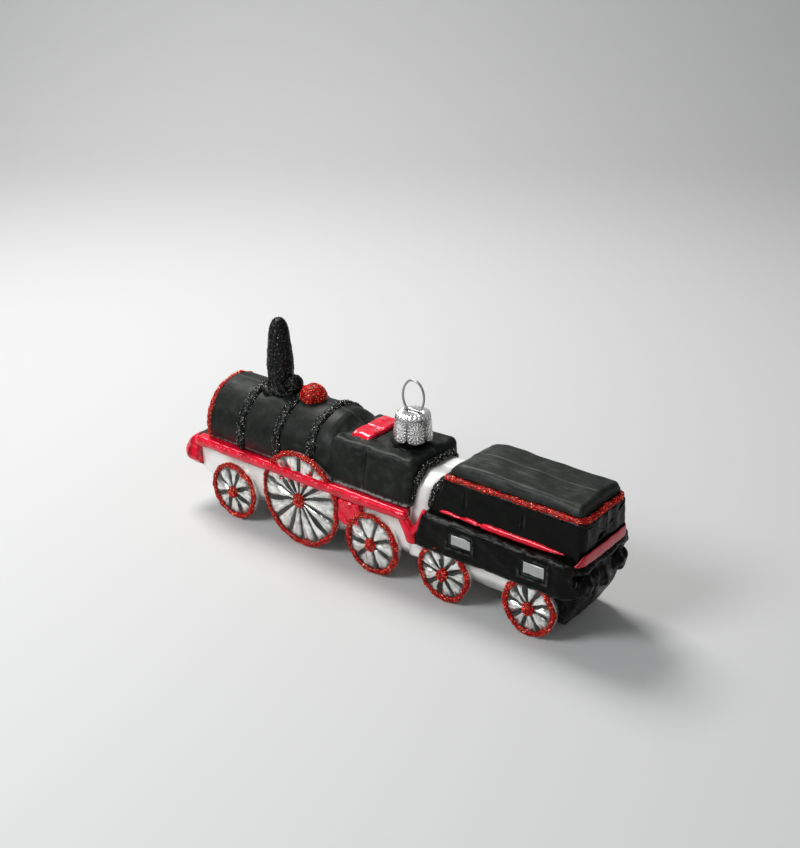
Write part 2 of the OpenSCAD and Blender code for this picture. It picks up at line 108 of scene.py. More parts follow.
def even(points, count, closed=True, seam_gain=0.0):
    """A polyline resampled by length. Near the mould line, where the first coordinate is
    0, the points lie closer together by seam_gain."""
    line = np.vstack([points, points[:1]]) if closed else np.asarray(points, float)
    steps = np.linalg.norm(np.diff(line, axis=0), axis=1)
    length = np.concatenate([[0], np.cumsum(steps)])
    fine = np.linspace(0, length[-1], 6000)
    dense = np.stack([np.interp(fine, length, line[:, k]) for k in range(line.shape[1])], 1)
    density = 1 + seam_gain * bump(dense[:, 0], 0, SEAM_REACH)
    total = np.concatenate([[0], np.cumsum((density[1:] + density[:-1]) / 2)])
    wanted = np.linspace(0, total[-1], count + 1)[:-1] if closed else \
        np.linspace(0, total[-1], count)
    return np.stack([np.interp(wanted, total, dense[:, k]) for k in range(line.shape[1])], 1)


def fillet(corners):
    """Closed outline through corners (a, b, radius): each corner becomes an arc that
    touches both sides, r tan(turn / 2) from the corner."""
    corners = np.asarray(corners, float)
    c, r = corners[:, :2], corners[:, 2:3]
    d1, d2 = unit(c - np.roll(c, 1, 0)), unit(np.roll(c, -1, 0) - c)
    turn = np.arctan2(d1[:, 0] * d2[:, 1] - d1[:, 1] * d2[:, 0], (d1 * d2).sum(1))
    side = np.sign(turn)[:, None]
    left = np.stack([-d1[:, 1], d1[:, 0]], 1)
    middle = c - d1 * r * np.tan(np.abs(turn) / 2)[:, None] + side * left * r
    angle = turn[:, None] * np.linspace(0, 1, ARC_POINTS)
    cos, sin = np.cos(angle)[..., None], np.sin(angle)[..., None]
    lx, ly = left[:, None, 0:1], left[:, None, 1:2]
    spoke = np.concatenate([lx * cos - ly * sin, lx * sin + ly * cos], -1)
    return (middle[:, None] - side[:, None] * spoke * r[:, None]).reshape(-1, 2)


def section(right, count, gain=4.0):
    """Closed outline of a symmetric solid, from its right-hand corners (y, z, radius) taken
    from the bottom up: they are mirrored in the middle plane, rounded and resampled."""
    left = [(-y, z, r) for y, z, r in right[::-1] if y > 0]
    return even(fillet(left[-1:] + right + left[:-1]), count, seam_gain=gain)


def curve(points, count):
    """Smooth line through a few points: a Catmull-Rom spline, resampled by length."""
    p = np.asarray(points, float)
    q = np.vstack([2 * p[0] - p[1], p, 2 * p[-1] - p[-2]])
    t = np.linspace(0, 1, 24)[:, None, None]
    a, b, c, d = q[:-3], q[1:-2], q[2:-1], q[3:]
    line = 0.5 * (2 * b + (c - a) * t + (2 * a - 5 * b + 4 * c - d) * t ** 2
                  + (3 * b - a - 3 * c + d) * t ** 3)
    line = line.transpose(1, 0, 2).reshape(-1, p.shape[1])
    keep = np.concatenate([[True], np.linalg.norm(np.diff(line, axis=0), axis=1) > 1e-7])
    line = line[keep]
    length = np.concatenate([[0], np.cumsum(np.linalg.norm(np.diff(line, axis=0), axis=1))])
    wanted = np.linspace(0, length[-1], count)
    return np.stack([np.interp(wanted, length, line[:, k]) for k in range(p.shape[1])], 1)


def wobble(points, scale, seed):
    """Smooth random field of spread about 1: a sum of cosine waves in random directions
    with wavelengths near scale."""
    rng = np.random.default_rng(seed)
    k = unit(rng.normal(size=(WAVES, 3))) * TAU / (scale * rng.uniform(0.7, 1.6, (WAVES, 1)))
    return np.cos(points @ k.T + rng.uniform(0, TAU, WAVES)).sum(-1) * math.sqrt(2 / WAVES)


def horseshoe(side_x, rear_y, rear_x, half_width, radius, turns):
    """Plan of a line that runs back along the left side, across the rear and forward
    along the right side, with quarter-circle corners, and its outward directions."""
    turn = np.linspace(-math.pi / 2, 0, turns)
    left = np.stack([side_x, -half_width + 0 * side_x], 1)
    corner = np.stack([rear_x - radius + radius * np.cos(turn),
                       -half_width + radius + radius * np.sin(turn)], 1)[1:]
    rear = np.stack([np.full(len(rear_y), rear_x), rear_y], 1)
    plan = np.vstack([left, corner, rear, (corner * [1, -1])[::-1][1:], (left * [1, -1])[::-1]])
    return plan, sideways(plan)


def sideways(plan):
    """Level outward directions of a plan line: its own direction by a quarter turn."""
    ahead = unit(np.gradient(plan, axis=0))
    return np.stack([ahead[:, 1], -ahead[:, 0], 0 * ahead[:, 0]], 1)


# ---------------------------------------------------------------- surfaces
def normals(grid):
    """Outward unit normals of a grid surface, from the cross product of its two
    directions, turned to point away from the surface's middle line."""
    du = np.roll(grid, -1, 1) - np.roll(grid, 1, 1)
    n = unit(np.cross(du, np.gradient(grid, axis=0)))
    middle = grid.mean(1, keepdims=True)
    return n * (1 if (n * (grid - middle)).sum() >= 0 else -1)


def convex_wear_and_highlight(grid):
    """Value for rubbed paint and for painted edge highlights, the convexity of a grid surface
    per millimetre: how far each point stands out from the middle of its neighbours, over the
    square of their distance, in the direction where that is larger, from 0 to 4."""
    n = normals(grid)
    found = []
    for axis in (0, 1):
        ahead, behind = np.roll(grid, -1, axis), np.roll(grid, 1, axis)
        if axis == 0:
            ahead[-1], behind[0] = grid[-1], grid[0]
        gap = (np.linalg.norm(ahead - behind, axis=-1) / 2) ** 2
        found.append(((grid - (ahead + behind) / 2) * n).sum(-1) * 2 / np.maximum(gap, 0.01))
    return np.clip(np.maximum(*found), 0, 4)


def block(outline, xs, r0, r1, rings=5, arc=7):
    """Closed rounded solid: an outline in y and z carried along x. Towards each end the
    outline is drawn in by a quarter circle of radius r0 or r1, then shrinks over the flat
    end to a point."""
    t = np.linspace(0, 1, rings + 1)[:-1]
    phi = np.linspace(0, math.pi / 2, arc)
    x0, x1 = xs[0], xs[-1]
    mid = xs[(xs > x0 + r0 + 1e-6) & (xs < x1 - r1 - 1e-6)]
    x = np.concatenate([x0 + 0 * t, x0 + r0 * (1 - np.cos(phi)), mid,
                        x1 - r1 * (1 - np.cos(phi[::-1])), x1 + 0 * t])
    inset = np.concatenate([r0 + 0 * t, r0 * (1 - np.sin(phi)), 0 * mid,
                            r1 * (1 - np.sin(phi[::-1])), r1 + 0 * t])
    shrink = np.concatenate([t, 1 + 0 * phi, 1 + 0 * mid, 1 + 0 * phi, t[::-1]])
    tangent = np.roll(outline, -1, 0) - np.roll(outline, 1, 0)
    out = unit(np.stack([tangent[:, 1], -tangent[:, 0]], 1))
    middle = (outline.max(0) + outline.min(0)) / 2
    if ((outline - middle) * out).sum() < 0:
        out = -out
    yz = outline[None] - inset[:, None, None] * out[None]
    yz = middle + (yz - middle) * shrink[:, None, None]
    return np.concatenate([np.broadcast_to(x[:, None, None], yz.shape[:2] + (1,)), yz], -1)


def relief(grid, height):
    """The surface moved outwards by a height in millimetres, a function of its points."""
    return grid + normals(grid) * height(grid)[..., None]


def seam(grid, size=0.10, width=0.16):
    """Raised mould line in the middle plane: a narrow bell across y = 0."""
    return size * bump(grid[..., 1], 0, width)


def bead(path, out, side, width, height, around=10, ends=True):
    """Closed half-round bead along a path: an ellipse spanned by the side and outward
    directions, width and height per point, drawn in to a point at open ends."""
    count = len(path)
    width = np.broadcast_to(np.asarray(width, float), count)[:, None, None]
    height = np.broadcast_to(np.asarray(height, float), count)[:, None, None]
    phi = np.linspace(0, TAU, around, endpoint=False)[None, :, None]
    ring = path[:, None] + side[:, None] * width / 2 * np.cos(phi) \
        + out[:, None] * height * np.sin(phi)
    if ends:
        ring = np.concatenate([ring[:1] * 0 + path[0], ring, ring[:1] * 0 + path[-1]])
    return ring


def revolve(profile, axis_x, axis_y, around=48):
    """Surface of revolution about a vertical axis from a profile of (radius, z)."""
    a = np.linspace(0, TAU, around, endpoint=False)
    r, z = profile[:, :1], profile[:, 1:]
    return np.stack([axis_x + r * np.cos(a), axis_y + r * np.sin(a), z + 0 * a], -1)


def tube(path, radius, around=12):
    """Round tube of varying radius along a path, closed to a point at both ends. Each ring
    lies across the path's direction; its first spoke is kept near a fixed direction."""
    direction = unit(np.gradient(path, axis=0))
    fixed = np.array([0, 1.0, 0])
    a = unit(fixed - direction * (direction @ fixed)[:, None])
    return bead(path, np.cross(direction, a), a, 2 * np.asarray(radius), radius, around)


# ---------------------------------------------------------------- meshes
class Part:
    """Vertices in millimetres, four-sided and three-sided faces, and a few values per
    vertex, gathered for one mesh."""

    def __init__(self, verts, quads, tris=None, flat=False, **values):
        self.verts = np.asarray(verts, float)
        self.quads = np.asarray(quads, np.int64).reshape(-1, 4)
        self.tris = np.zeros((0, 3), np.int64) if tris is None else tris.reshape(-1, 3)
        self.flat = flat
        self.values = {k: np.broadcast_to(v, len(self.verts)).astype(float)
                       for k, v in values.items()}

    def volume(self):
        """Signed volume: the sum of the tetrahedra from the origin to each triangle."""
        tris = np.vstack([self.tris, self.quads[:, :3], self.quads[:, [0, 2, 3]]])
        a, b, c = (self.verts[tris[:, k]] for k in range(3))
        return (a * np.cross(b, c)).sum() / 6

    def outward(self):
        """The same part with its faces turned outwards."""
        if self.volume() < 0:
            self.quads, self.tris = self.quads[:, ::-1], self.tris[:, ::-1]
        return self

    def mirrored(self):
        """The same part on the other side of the middle plane."""
        return Part(self.verts * [1, -1, 1], self.quads[:, ::-1], self.tris[:, ::-1],
                    self.flat, **self.values)


def skin(grid, loop=False, **values):
    """Part from a grid of points whose last column joins the first. A loop's last row joins
    its first; otherwise the first and last rows are single points, the poles."""
    m, n = grid.shape[:2]
    index = np.arange(m * n).reshape(m, n)
    if loop:
        index = np.vstack([index, index[:1]])
    here, there = index, np.roll(index, -1, 1)
    quads = np.stack([here[:-1], there[:-1], there[1:], here[1:]], -1)
    tris = np.zeros((0, 3), np.int64)
    if not loop:
        first = np.stack([index[0, 0] + 0 * here[1], there[1], here[1]], -1)
        last = np.stack([index[-1, 0] + 0 * here[1], here[-2], there[-2]], -1)
        tris = np.vstack([first, last])
        quads = quads[1:-1]
    quads = quads.reshape(-1, 4)
    used, back = np.unique(np.concatenate([quads.ravel(), tris.ravel()]), return_inverse=True)
    quads, tris = back[:quads.size].reshape(-1, 4), back[quads.size:].reshape(-1, 3)
    flat_values = {k: np.broadcast_to(v, (m, n)).reshape(-1)[used] for k, v in values.items()}
    return Part(grid.reshape(-1, 3)[used], quads, tris, **flat_values).outward()


def piece(name, parts, material, nodes=(), body="root"):
    """One mesh object from several parts, riding on its body and standing for its CAD
    nodes."""
    offsets = np.cumsum([0] + [len(p.verts) for p in parts])
    verts = np.vstack([p.verts for p in parts]) * MM
    quads = np.vstack([p.quads + o for p, o in zip(parts, offsets)])
    tris = np.vstack([p.tris + o for p, o in zip(parts, offsets)])
    flat = np.concatenate([np.full(len(p.quads), p.flat) for p in parts]
                          + [np.full(len(p.tris), p.flat) for p in parts])
    mesh = bpy.data.meshes.new(name)
    mesh.vertices.add(len(verts))
    mesh.vertices.foreach_set("co", verts.ravel())
    mesh.loops.add(quads.size + tris.size)
    mesh.loops.foreach_set("vertex_index", np.concatenate([quads.ravel(), tris.ravel()]))
    mesh.polygons.add(len(quads) + len(tris))
    starts = np.concatenate([np.arange(len(quads)) * 4, quads.size + np.arange(len(tris)) * 3])
    mesh.polygons.foreach_set("loop_start", starts)
    mesh.polygons.foreach_set("use_smooth", ~flat)
    for key in sorted({k for p in parts for k in p.values}):
        values = np.concatenate([p.values.get(key, np.zeros(len(p.verts))) for p in parts])
        mesh.attributes.new(key, "FLOAT", "POINT").data.foreach_set("value", values)
    mesh.update(calc_edges=True)
    made = bpy.data.objects.new(name, mesh)
    bpy.context.scene.collection.objects.link(made)
    mesh.materials.append(material)
    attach(made, body)
    if nodes:
        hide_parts(*nodes)
    return made


FLAKE_TIP = 0.65     # how far a flake leans from the surface, as a share of its normal
FLAKE_FOLD = 0.34    # how far its lifted corners rise, as a share of its size


def flakes(grid, density, size, seed, loop=False):
    """Glitter flakes over a grid surface: four-faced chips, scattered evenly by area and
    tipped at random, each with its own tint. A chip's four corners lie crosswise round its
    place, and one opposite pair is lifted, so that it is a small folded square."""
    rng = np.random.default_rng(seed)
    g = np.concatenate([grid, grid[:1]], 0) if loop else grid
    g = np.concatenate([g, g[:, :1]], 1)
    a, b, c, d = g[:-1, :-1], g[:-1, 1:], g[1:, 1:], g[1:, :-1]
    cross = np.cross(c - a, d - b)
    area = np.linalg.norm(cross, axis=-1).ravel() / 2
    count = int(area.sum() * density)
    cell = rng.choice(area.size, count, p=area / area.sum())
    s, t = rng.random((2, count, 1))
    a, b, c, d = (k.reshape(-1, 3)[cell] for k in (a, b, c, d))
    spot = (a * (1 - s) + b * s) * (1 - t) + (d * (1 - s) + c * s) * t
    n = unit(cross.reshape(-1, 3)[cell])
    middle = g.mean((0, 1))
    if ((spot - middle) * n).sum() < 0:
        n = -n
    up = unit(n + rng.normal(size=(count, 3)) * FLAKE_TIP)
    across = unit(np.cross(up, rng.normal(size=(count, 3))))
    along = np.cross(up, across)
    r = size * rng.uniform(0.7, 1.25, (count, 1))
    spot = spot + n * rng.uniform(0.0, 0.10, (count, 1))
    verts = np.stack([spot + across * r, spot + along * r, spot - across * r,
                      spot - along * r + up * r * FLAKE_FOLD], 1)
    verts[:, 1] += up * r * FLAKE_FOLD
    faces = np.array([[0, 1, 3], [1, 2, 3], [1, 0, 2], [0, 3, 2]])
    tris = (np.arange(count)[:, None, None] * 4 + faces).reshape(-1, 3)
    tint = np.repeat(rng.uniform(0.15, 1, count), 4)
    return Part(verts.reshape(-1, 3), np.zeros((0, 4)), tris, True, tint=tint)


def glittered(grid, density, size, seed, loop=False):
    """A surface of clear glue with its flakes: both parts."""
    return [skin(grid, loop=loop, tint=0.0), flakes(grid, density, size, seed, loop)]


def both_sides(part):
    """A left-hand part and its mirrored copy."""
    return [part, part.mirrored()]


# ---------------------------------------------------------------- shader arithmetic
class Value:
    """A shader socket that takes Python arithmetic; each operator adds its Math node."""

    def __init__(self, graph, socket):
        self.graph, self.socket = graph, socket

    def math(self, operation, *others, clamp=False):
        settings = {"operation": operation, "use_clamp": clamp}
        return self.graph.node("ShaderNodeMath", settings, [self, *others])[0]

    def __add__(self, other):
        return self.math("ADD", other)

    def __mul__(self, other):
        return self.math("MULTIPLY", other)

    def __sub__(self, other):
        return self.math("SUBTRACT", other)

    def __rsub__(self, other):
        return self.graph.node("ShaderNodeMath", {"operation": "SUBTRACT"}, [other, self])[0]

    def __truediv__(self, other):
        return self.math("DIVIDE", other)

    __radd__ = __add__
    __rmul__ = __mul__

    def step(self, low, high):
        """0 below low and 1 above high, smooth between."""
        settings = {"interpolation_type": "SMOOTHSTEP"}
        return self.graph.node("ShaderNodeMapRange", settings,
                               {"Value": self, "From Min": low, "From Max": high})[0]

    def clamp(self):
        return self.math("ADD", 0.0, clamp=True)


class Graph:
    """The node tree of one material, with one method that adds a node."""

    def __init__(self, name):
        self.material = bpy.data.materials.new(name)
        self.material.use_nodes = True
        self.tree = self.material.node_tree
        self.tree.nodes.clear()
        self.place = self.node("ShaderNodeTexCoord", {}, {})["Object"]

    def node(self, kind, settings, inputs):
        """Adds a node; settings are set first, then the values or links of its sockets.
        Returns its outputs by number or by name."""
        made = self.tree.nodes.new(kind)
        for key, value in settings.items():
            if key == "stops":
                ramp = made.color_ramp.elements
                while len(ramp) < len(value):
                    ramp.new(0.5)
                for element, (position, colour) in zip(ramp, value):
                    element.position, element.color = position, (*colour, 1)
            else:
                setattr(made, key, value)
        pairs = inputs.items() if isinstance(inputs, dict) else enumerate(inputs)
        for key, value in pairs:
            if isinstance(value, Value):
                self.tree.links.new(value.socket, made.inputs[key])
            else:
                made.inputs[key].default_value = value
        return {k: Value(self, o) for i, o in enumerate(made.outputs) for k in (i, o.name)}

    def noise(self, scale, detail=4.0, rough=0.55, where=None, **more):
        """Noise with about scale features to a millimetre."""
        return self.node("ShaderNodeTexNoise", {}, {
            "Vector": where or self.place, "Scale": scale / MM, "Detail": detail,
            "Roughness": rough, **more})[0]

    def value(self, name):
        """A value carried by the mesh."""
        return self.node("ShaderNodeAttribute", {"attribute_name": name}, {})["Fac"]

    def axis(self, letter):
        """One coordinate of the place on the object, in millimetres."""
        split = self.node("ShaderNodeSeparateXYZ", {}, [self.place])
        return split["XYZ".index(letter)] * (1 / MM)

    def stretched(self, x, y, z):
        """The place with each axis scaled, for streaks."""
        return self.node("ShaderNodeVectorMath", {"operation": "MULTIPLY"},
                         [self.place, (x, y, z)])[0]

    def ramp(self, factor, *stops):
        return self.node("ShaderNodeValToRGB", {"stops": stops}, [factor])[0]

    def blend(self, factor, a, b):
        """Colour a turned into colour b by factor."""
        fixed = [c if isinstance(c, Value) else (*c, 1) for c in (a, b)]
        return self.node("ShaderNodeMix", {"data_type": "RGBA", "blend_type": "MIX"},
                         {0: factor, 6: fixed[0], 7: fixed[1]})[2]

    def relief(self, height, distance, strength=1.0, under=None):
        """Bump whose full height is distance in millimetres."""
        inputs = {"Height": height, "Distance": distance * MM, "Strength": strength}
        if under is not None:
            inputs["Normal"] = under
        return self.node("ShaderNodeBump", {}, inputs)[0]

    def surface(self, **sockets):
        """Principled surface; names use _ for a space."""
        inputs = {k.replace("_", " "): (*v, 1) if isinstance(v, tuple) and len(v) == 3 else v
                  for k, v in sockets.items()}
        shader = self.node("ShaderNodeBsdfPrincipled", {}, inputs)[0]
        self.node("ShaderNodeOutputMaterial", {}, {"Surface": shader})
        return self.material


# ---------------------------------------------------------------- finishes
def black_paint(name, base, sheen, gloss, shine=0.36, overspray=False, streaks=0.0):
    """Brushed black paint on glass: cloudy colour, fine brush relief, grey edges that are partly
    rubbed paint and partly painted highlights.
    """
    g = Graph(name)
    cloud = g.noise(0.30, 6, 0.66)
    fine = g.noise(2.2, 4, 0.6)
    dark = tuple(c * 0.5 for c in base)
    pale = tuple(c * 2.6 + 0.002 for c in base)
    colour = g.ramp(cloud, (0.30, dark), (0.52, base), (0.74, pale))
    if overspray:
        low = 1 - g.axis("Z").step(DECK_Z, DECK_Z + 5.5)
        ahead = 1 - g.axis("X").step(-34, -12)
        patch = g.noise(0.16, 3).step(0.36, 0.62)
        colour = g.blend((low * ahead * patch * 0.8).clamp(), colour, (0.085, 0.004, 0.011))
    brush = g.noise(0.5, 5, 0.6, g.stretched(0.35, 2.4, 2.4))
    if streaks:
        brush = g.noise(0.6, 6, 0.62, g.stretched(0.3, 1.5, 1.5))
        colour = g.blend((brush.step(0.5, 0.75) * streaks).clamp(), colour, pale)
    # Grey on convex edges: partly rubbed paint, partly painted edge highlights.
    edge = (g.value("wear").step(0.35, 1.3) * g.noise(0.55, 4).step(0.38, 0.62)).clamp()
    colour = g.blend((edge * 0.30).clamp(), colour, (0.15, 0.155, 0.15))
    rubbed = (g.value("rub") * g.noise(0.9, 4).step(0.36, 0.6)).clamp()
    colour = g.blend(rubbed * 0.8, colour, (0.42, 0.43, 0.41))
    rough = (sheen + (cloud - 0.5) * 0.3 + (fine - 0.5) * 0.16).clamp()
    bumps = g.relief(brush, 0.18, 0.45)
    bumps = g.relief(fine, 0.04, 0.40, bumps)
    return g.surface(Base_Color=colour, Roughness=rough, Normal=bumps, Coat_Weight=gloss,
                     Coat_Roughness=0.22, Specular_IOR_Level=shine)


def glitter(name, deep, low, main, bright, painted_glint_tint):
    """Glitter in clear glue: each chip has its own tint and mirror finish. The darker flake tints
    stand in for painted shade, and the brightest colour, from the last number up, is a painted glint.
    """
    g = Graph(name)
    tint = g.value("tint")
    chip = tint.step(0.02, 0.12)
    # Dark flake tints are painted shade; the last colour is a painted glint.
    colour = g.ramp(tint, (0.0, deep), (0.15, deep), (0.3, low), (0.6, main), (painted_glint_tint, main),
                    (min(painted_glint_tint + 0.05, 0.99), bright))
    grain = g.noise(3.0, 2)
    bumps = g.relief(grain, 0.12, 0.5)
    return g.surface(Base_Color=colour, Metallic=chip * 0.35, Roughness=0.46 - chip * 0.28,
                     Normal=bumps, Coat_Weight=0.06, Coat_Roughness=0.12,
                     Specular_IOR_Level=0.25)


def red_lacquer():
    """Translucent red lacquer over silver: darker where it pools, glossy on top, pink where rubbed
    thin and along painted highlights, and darkened by painted shade where the mesh marks it.
    """
    g = Graph("red lacquer")
    pool = g.noise(0.28, 4, 0.55)
    fine = g.noise(1.4, 3, 0.5)
    colour = g.ramp(pool, (0.28, (0.42, 0.000, 0.010)), (0.5, (0.74, 0.001, 0.024)),
                    (0.8, (0.90, 0.006, 0.040)))
    # Pink on convex ridges, where the lacquer is rubbed thin, and along painted highlights that the
    # mesh adds, such as the rails' ridge lines.
    thin = (g.value("wear").step(0.7, 2.2) * fine.step(0.5, 0.68)).clamp()
    colour = g.blend(thin * 0.6, colour, (1.0, 0.26, 0.32))
    # Painted shade: the mesh's shade value turns the red almost black.
    colour = g.blend(g.value("shade").clamp(), colour, (0.055, 0.002, 0.006))
    bumps = g.relief(pool, 0.35, 0.5)
    bumps = g.relief(fine, 0.035, 0.3, bumps)
    return g.surface(Base_Color=colour, Metallic=0.30, Roughness=0.26 + fine * 0.14,
                     Normal=bumps, Coat_Weight=0.75, Coat_Roughness=0.03, Coat_IOR=1.42,
                     Specular_IOR_Level=0.12)


def silver_lacquer():
    """Satin silver lacquer seen through frosted glass: cloudy white with soft grey, darkened by
    painted shade where the mesh marks it.
    """
    g = Graph("silver lacquer")
    cloud = g.noise(0.13, 4, 0.5)
    fine = g.noise(1.6, 4, 0.6)
    colour = g.ramp(cloud, (0.3, (0.78, 0.78, 0.75)), (0.6, (0.88, 0.88, 0.855)),
                    (0.85, (0.93, 0.93, 0.91)))
    # Painted shade: the mesh's shade value turns the silver almost black.
    colour = g.blend(g.value("shade").clamp(), colour, (0.045, 0.045, 0.042))
    bumps = g.relief(cloud, 0.5, 0.3)
    return g.surface(Base_Color=colour, Metallic=0.25, Roughness=0.42 + fine * 0.10,
                     Normal=bumps, Coat_Weight=0.04, Coat_Roughness=0.16)


def wheel_silver():
    """Silver petals of the wheels: bright on the crowns, greyish green to almost black in the creases,
    partly grey paint there and partly painted shade, with red smears where the rail was painted."""
    g = Graph("wheel silver")
    cloud = g.noise(0.45, 4, 0.6)
    crease = g.value("hollow") + (g.noise(0.8, 4, 0.6) - 0.5) * 0.7
    colour = g.ramp(cloud, (0.32, (0.56, 0.57, 0.52)), (0.60, (0.95, 0.95, 0.92)))
    # Creases go almost black: partly grey paint in them, partly painted shade.
    colour = g.blend(crease.step(0.28, 0.98) * 0.95, colour, (0.030, 0.034, 0.025))
    smear = (g.value("smear") * g.noise(0.5, 4, 0.6).step(0.46, 0.62)).clamp()
    colour = g.blend(smear * 0.9, colour, (0.55, 0.006, 0.02))
    bumps = g.relief(g.noise(0.8, 4, 0.6), 0.16, 0.6)
    return g.surface(Base_Color=colour, Metallic=0.70, Roughness=0.16 + cloud * 0.16,
                     Normal=bumps, Coat_Weight=0.6, Coat_Roughness=0.10)


def brush_line():
    """Thin black-green paint lines with brush marks."""
    g = Graph("spoke paint")
    brush = g.noise(1.2, 4, 0.6)
    colour = g.ramp(brush, (0.35, (0.004, 0.005, 0.0035)), (0.62, (0.016, 0.019, 0.014)),
                    (0.8, (0.05, 0.056, 0.045)))
    return g.surface(Base_Color=colour, Roughness=0.30 + brush * 0.2,
                     Normal=g.relief(brush, 0.06, 0.5), Coat_Weight=0.4, Coat_Roughness=0.2,
                     Specular_IOR_Level=0.4)


def tin(name, base, rough, metal=1.0):
    """Bright tinned metal with faint tarnish and handling marks, and painted shade in the hollows of
    its pressing.
    """
    g = Graph(name)
    dull = g.noise(0.5, 5, 0.6)
    colour = g.ramp(dull, (0.3, tuple(c * 0.82 for c in base)), (0.65, base))
    # Painted shade in the pressing's hollows and the wire slot.
    low = (g.value("hollow").step(0.1, 0.9) * 0.85).clamp()
    colour = g.blend(low, colour, (0.10, 0.10, 0.10))
    return g.surface(Base_Color=colour, Metallic=metal, Roughness=rough + dull * 0.14,
                     Normal=g.relief(g.noise(2.4, 3), 0.03, 0.4))


BLACK = black_paint("matt black paint", (0.0085, 0.0108, 0.0088), 0.50, 0.03, 0.13, True)
TENDER_BLACK = black_paint("satin black paint", (0.0014, 0.0022, 0.0014), 0.30, 0.05, 0.07)
ROOF_BLACK = black_paint("streaky black paint", (0.0130, 0.0160, 0.0135), 0.48, 0.05, 0.16,
                         streaks=0.22)
GLOSS_BLACK = black_paint("gloss black paint", (0.002, 0.002, 0.002), 0.30, 0.05, 0.10)
RED = red_lacquer()
SILVER = silver_lacquer()
WHEEL = wheel_silver()
SPOKE = brush_line()
# Each glitter's last colour, used for tints from its last number up, is a painted glint; its dark
# colours are painted shade on the darker flakes.
RED_GLITTER = glitter("red glitter", (0.20, 0.000, 0.001), (0.52, 0.002, 0.002),
                      (1.0, 0.018, 0.010), (1.0, 0.32, 0.18), 0.79)
BLACK_GLITTER = glitter("black glitter", (0.0015, 0.0015, 0.0015), (0.003, 0.003, 0.003),
                        (0.006, 0.007, 0.006), (0.50, 0.52, 0.48), 0.84)
STACK_GLITTER = glitter("stack glitter", (0.001, 0.001, 0.001), (0.002, 0.002, 0.002),
                        (0.004, 0.0045, 0.004), (0.16, 0.17, 0.155), 0.86)
CAP_TIN = tin("cap tin", (0.96, 0.96, 0.95), 0.12, 0.8)
WIRE_TIN = tin("loop wire", (0.40, 0.41, 0.42), 0.22)
WINDOW_SILVER = tin("window silver", (0.50, 0.51, 0.51), 0.34)


# ---------------------------------------------------------------- boiler and fittings
def barrel_outline():
    """Boiler section: a circle cut off by a level line a little under the deck."""
    low = DECK_Z - 0.3
    start = math.asin((low - BARREL_Z) / BARREL_R)
    a = np.linspace(start, math.pi - start, 400)
    ring = np.stack([BARREL_R * np.cos(a), BARREL_Z + BARREL_R * np.sin(a)], 1)
    across = np.linspace(ring[-1, 0], ring[0, 0], 60)[1:-1]
    floor = np.stack([across, np.full(len(across), low)], 1)
    return even(np.vstack([ring, floor]), 130, seam_gain=5)


def make_barrel():
    """Barrel: the boiler section carried back from a soft shoulder, a little uneven, with
    a rubbed line along its foot as far as the last band."""
    xs = np.linspace(BOILER_LOW[0], BOILER_HIGH[0] - 1.5, 84)
    barrel = block(barrel_outline(), xs, 1.2, 0.1)
    barrel = relief(barrel, lambda p: 0.06 * wobble(p, 11, 1) + 0.03 * wobble(p, 4, 2)
                    + seam(p))
    rub = bump(barrel[..., 2], DECK_Z + 0.45, 0.30) * (barrel[..., 0] < BAND_X[2])
    piece("boiler_skin", [skin(barrel, wear=convex_wear_and_highlight(barrel) * 0.5, rub=rub)], BLACK,
          ["boiler"])


def make_crown():
    """Crown: the boiler section, its height and width scaled along x, so that it sinks in
    a hollow curve from the barrel to the cab roof. It starts under the last band."""
    xs = np.linspace(BAND_X[2] - 0.3, CAB_LOW[0] + 9.5, 64)
    crown = block(barrel_outline(), xs, 0.05, 0.3)
    behind = crown[..., 0] - CAB_LOW[0]
    top = np.interp(behind, [-6, -2.4, -0.9, 0.5, 2.0, 3.8, 6.0, 9.5],
                    [BARREL_TOP, BARREL_TOP - 0.25, BARREL_TOP - 0.7, BARREL_TOP - 1.6,
                     ROOF_Z + 1.35, ROOF_Z + 0.55, ROOF_Z, ROOF_Z - 0.8])
    crown[..., 1] *= np.interp(behind, [-3.5, -0.5, 2.0, 9.5], [1, 0.97, 0.90, 0.78])
    crown[..., 2] = DECK_Z + (crown[..., 2] - DECK_Z) * (top - DECK_Z) / (BARREL_TOP - DECK_Z)
    crown = relief(crown, lambda p: 0.06 * wobble(p, 7, 3) + seam(p))
    piece("crown_skin", [skin(crown, wear=convex_wear_and_highlight(crown) * 0.5)], BLACK,
          ["firebox_crown"])


FIRST_BAND = 1.15                 # the first band's middle, from the node's front
BAND_STEPS = np.array([0, 15, 28.3])
BAND_X = span("boiler_bands")[0][0] + FIRST_BAND + BAND_STEPS


def arch(radius, x):
    """Circular path over the boiler at station x, with its outward direction."""
    start = math.asin((DECK_Z - 0.1 - BARREL_Z) / radius)
    a = np.linspace(start, math.pi - start, 120)
    out = np.stack([0 * a, np.cos(a), np.sin(a)], 1)
    return np.stack([x + 0 * a, radius * np.cos(a), BARREL_Z + radius * np.sin(a)], 1), out


def glue_line(path, out, side, width, height, seed, density, size, loop=False):
    """Hand-laid glitter line: a half-round bead of glue whose width, height and path
    wander a little by smooth random fields, with its flakes."""
    width = width * (1 + 0.12 * wobble(path, 5, seed))
    height = height * (1 + 0.15 * wobble(path, 3, seed + 1))
    path = path + side * (0.10 * wobble(path, 6, seed + 2))[:, None]
    grid = bead(path, out, side, width, height, 10, not loop)
    grid = grid + (0.05 * wobble(grid, 1.1, seed + 3))[..., None] * normals(grid)
    return glittered(grid, density, size, seed + 4, loop)


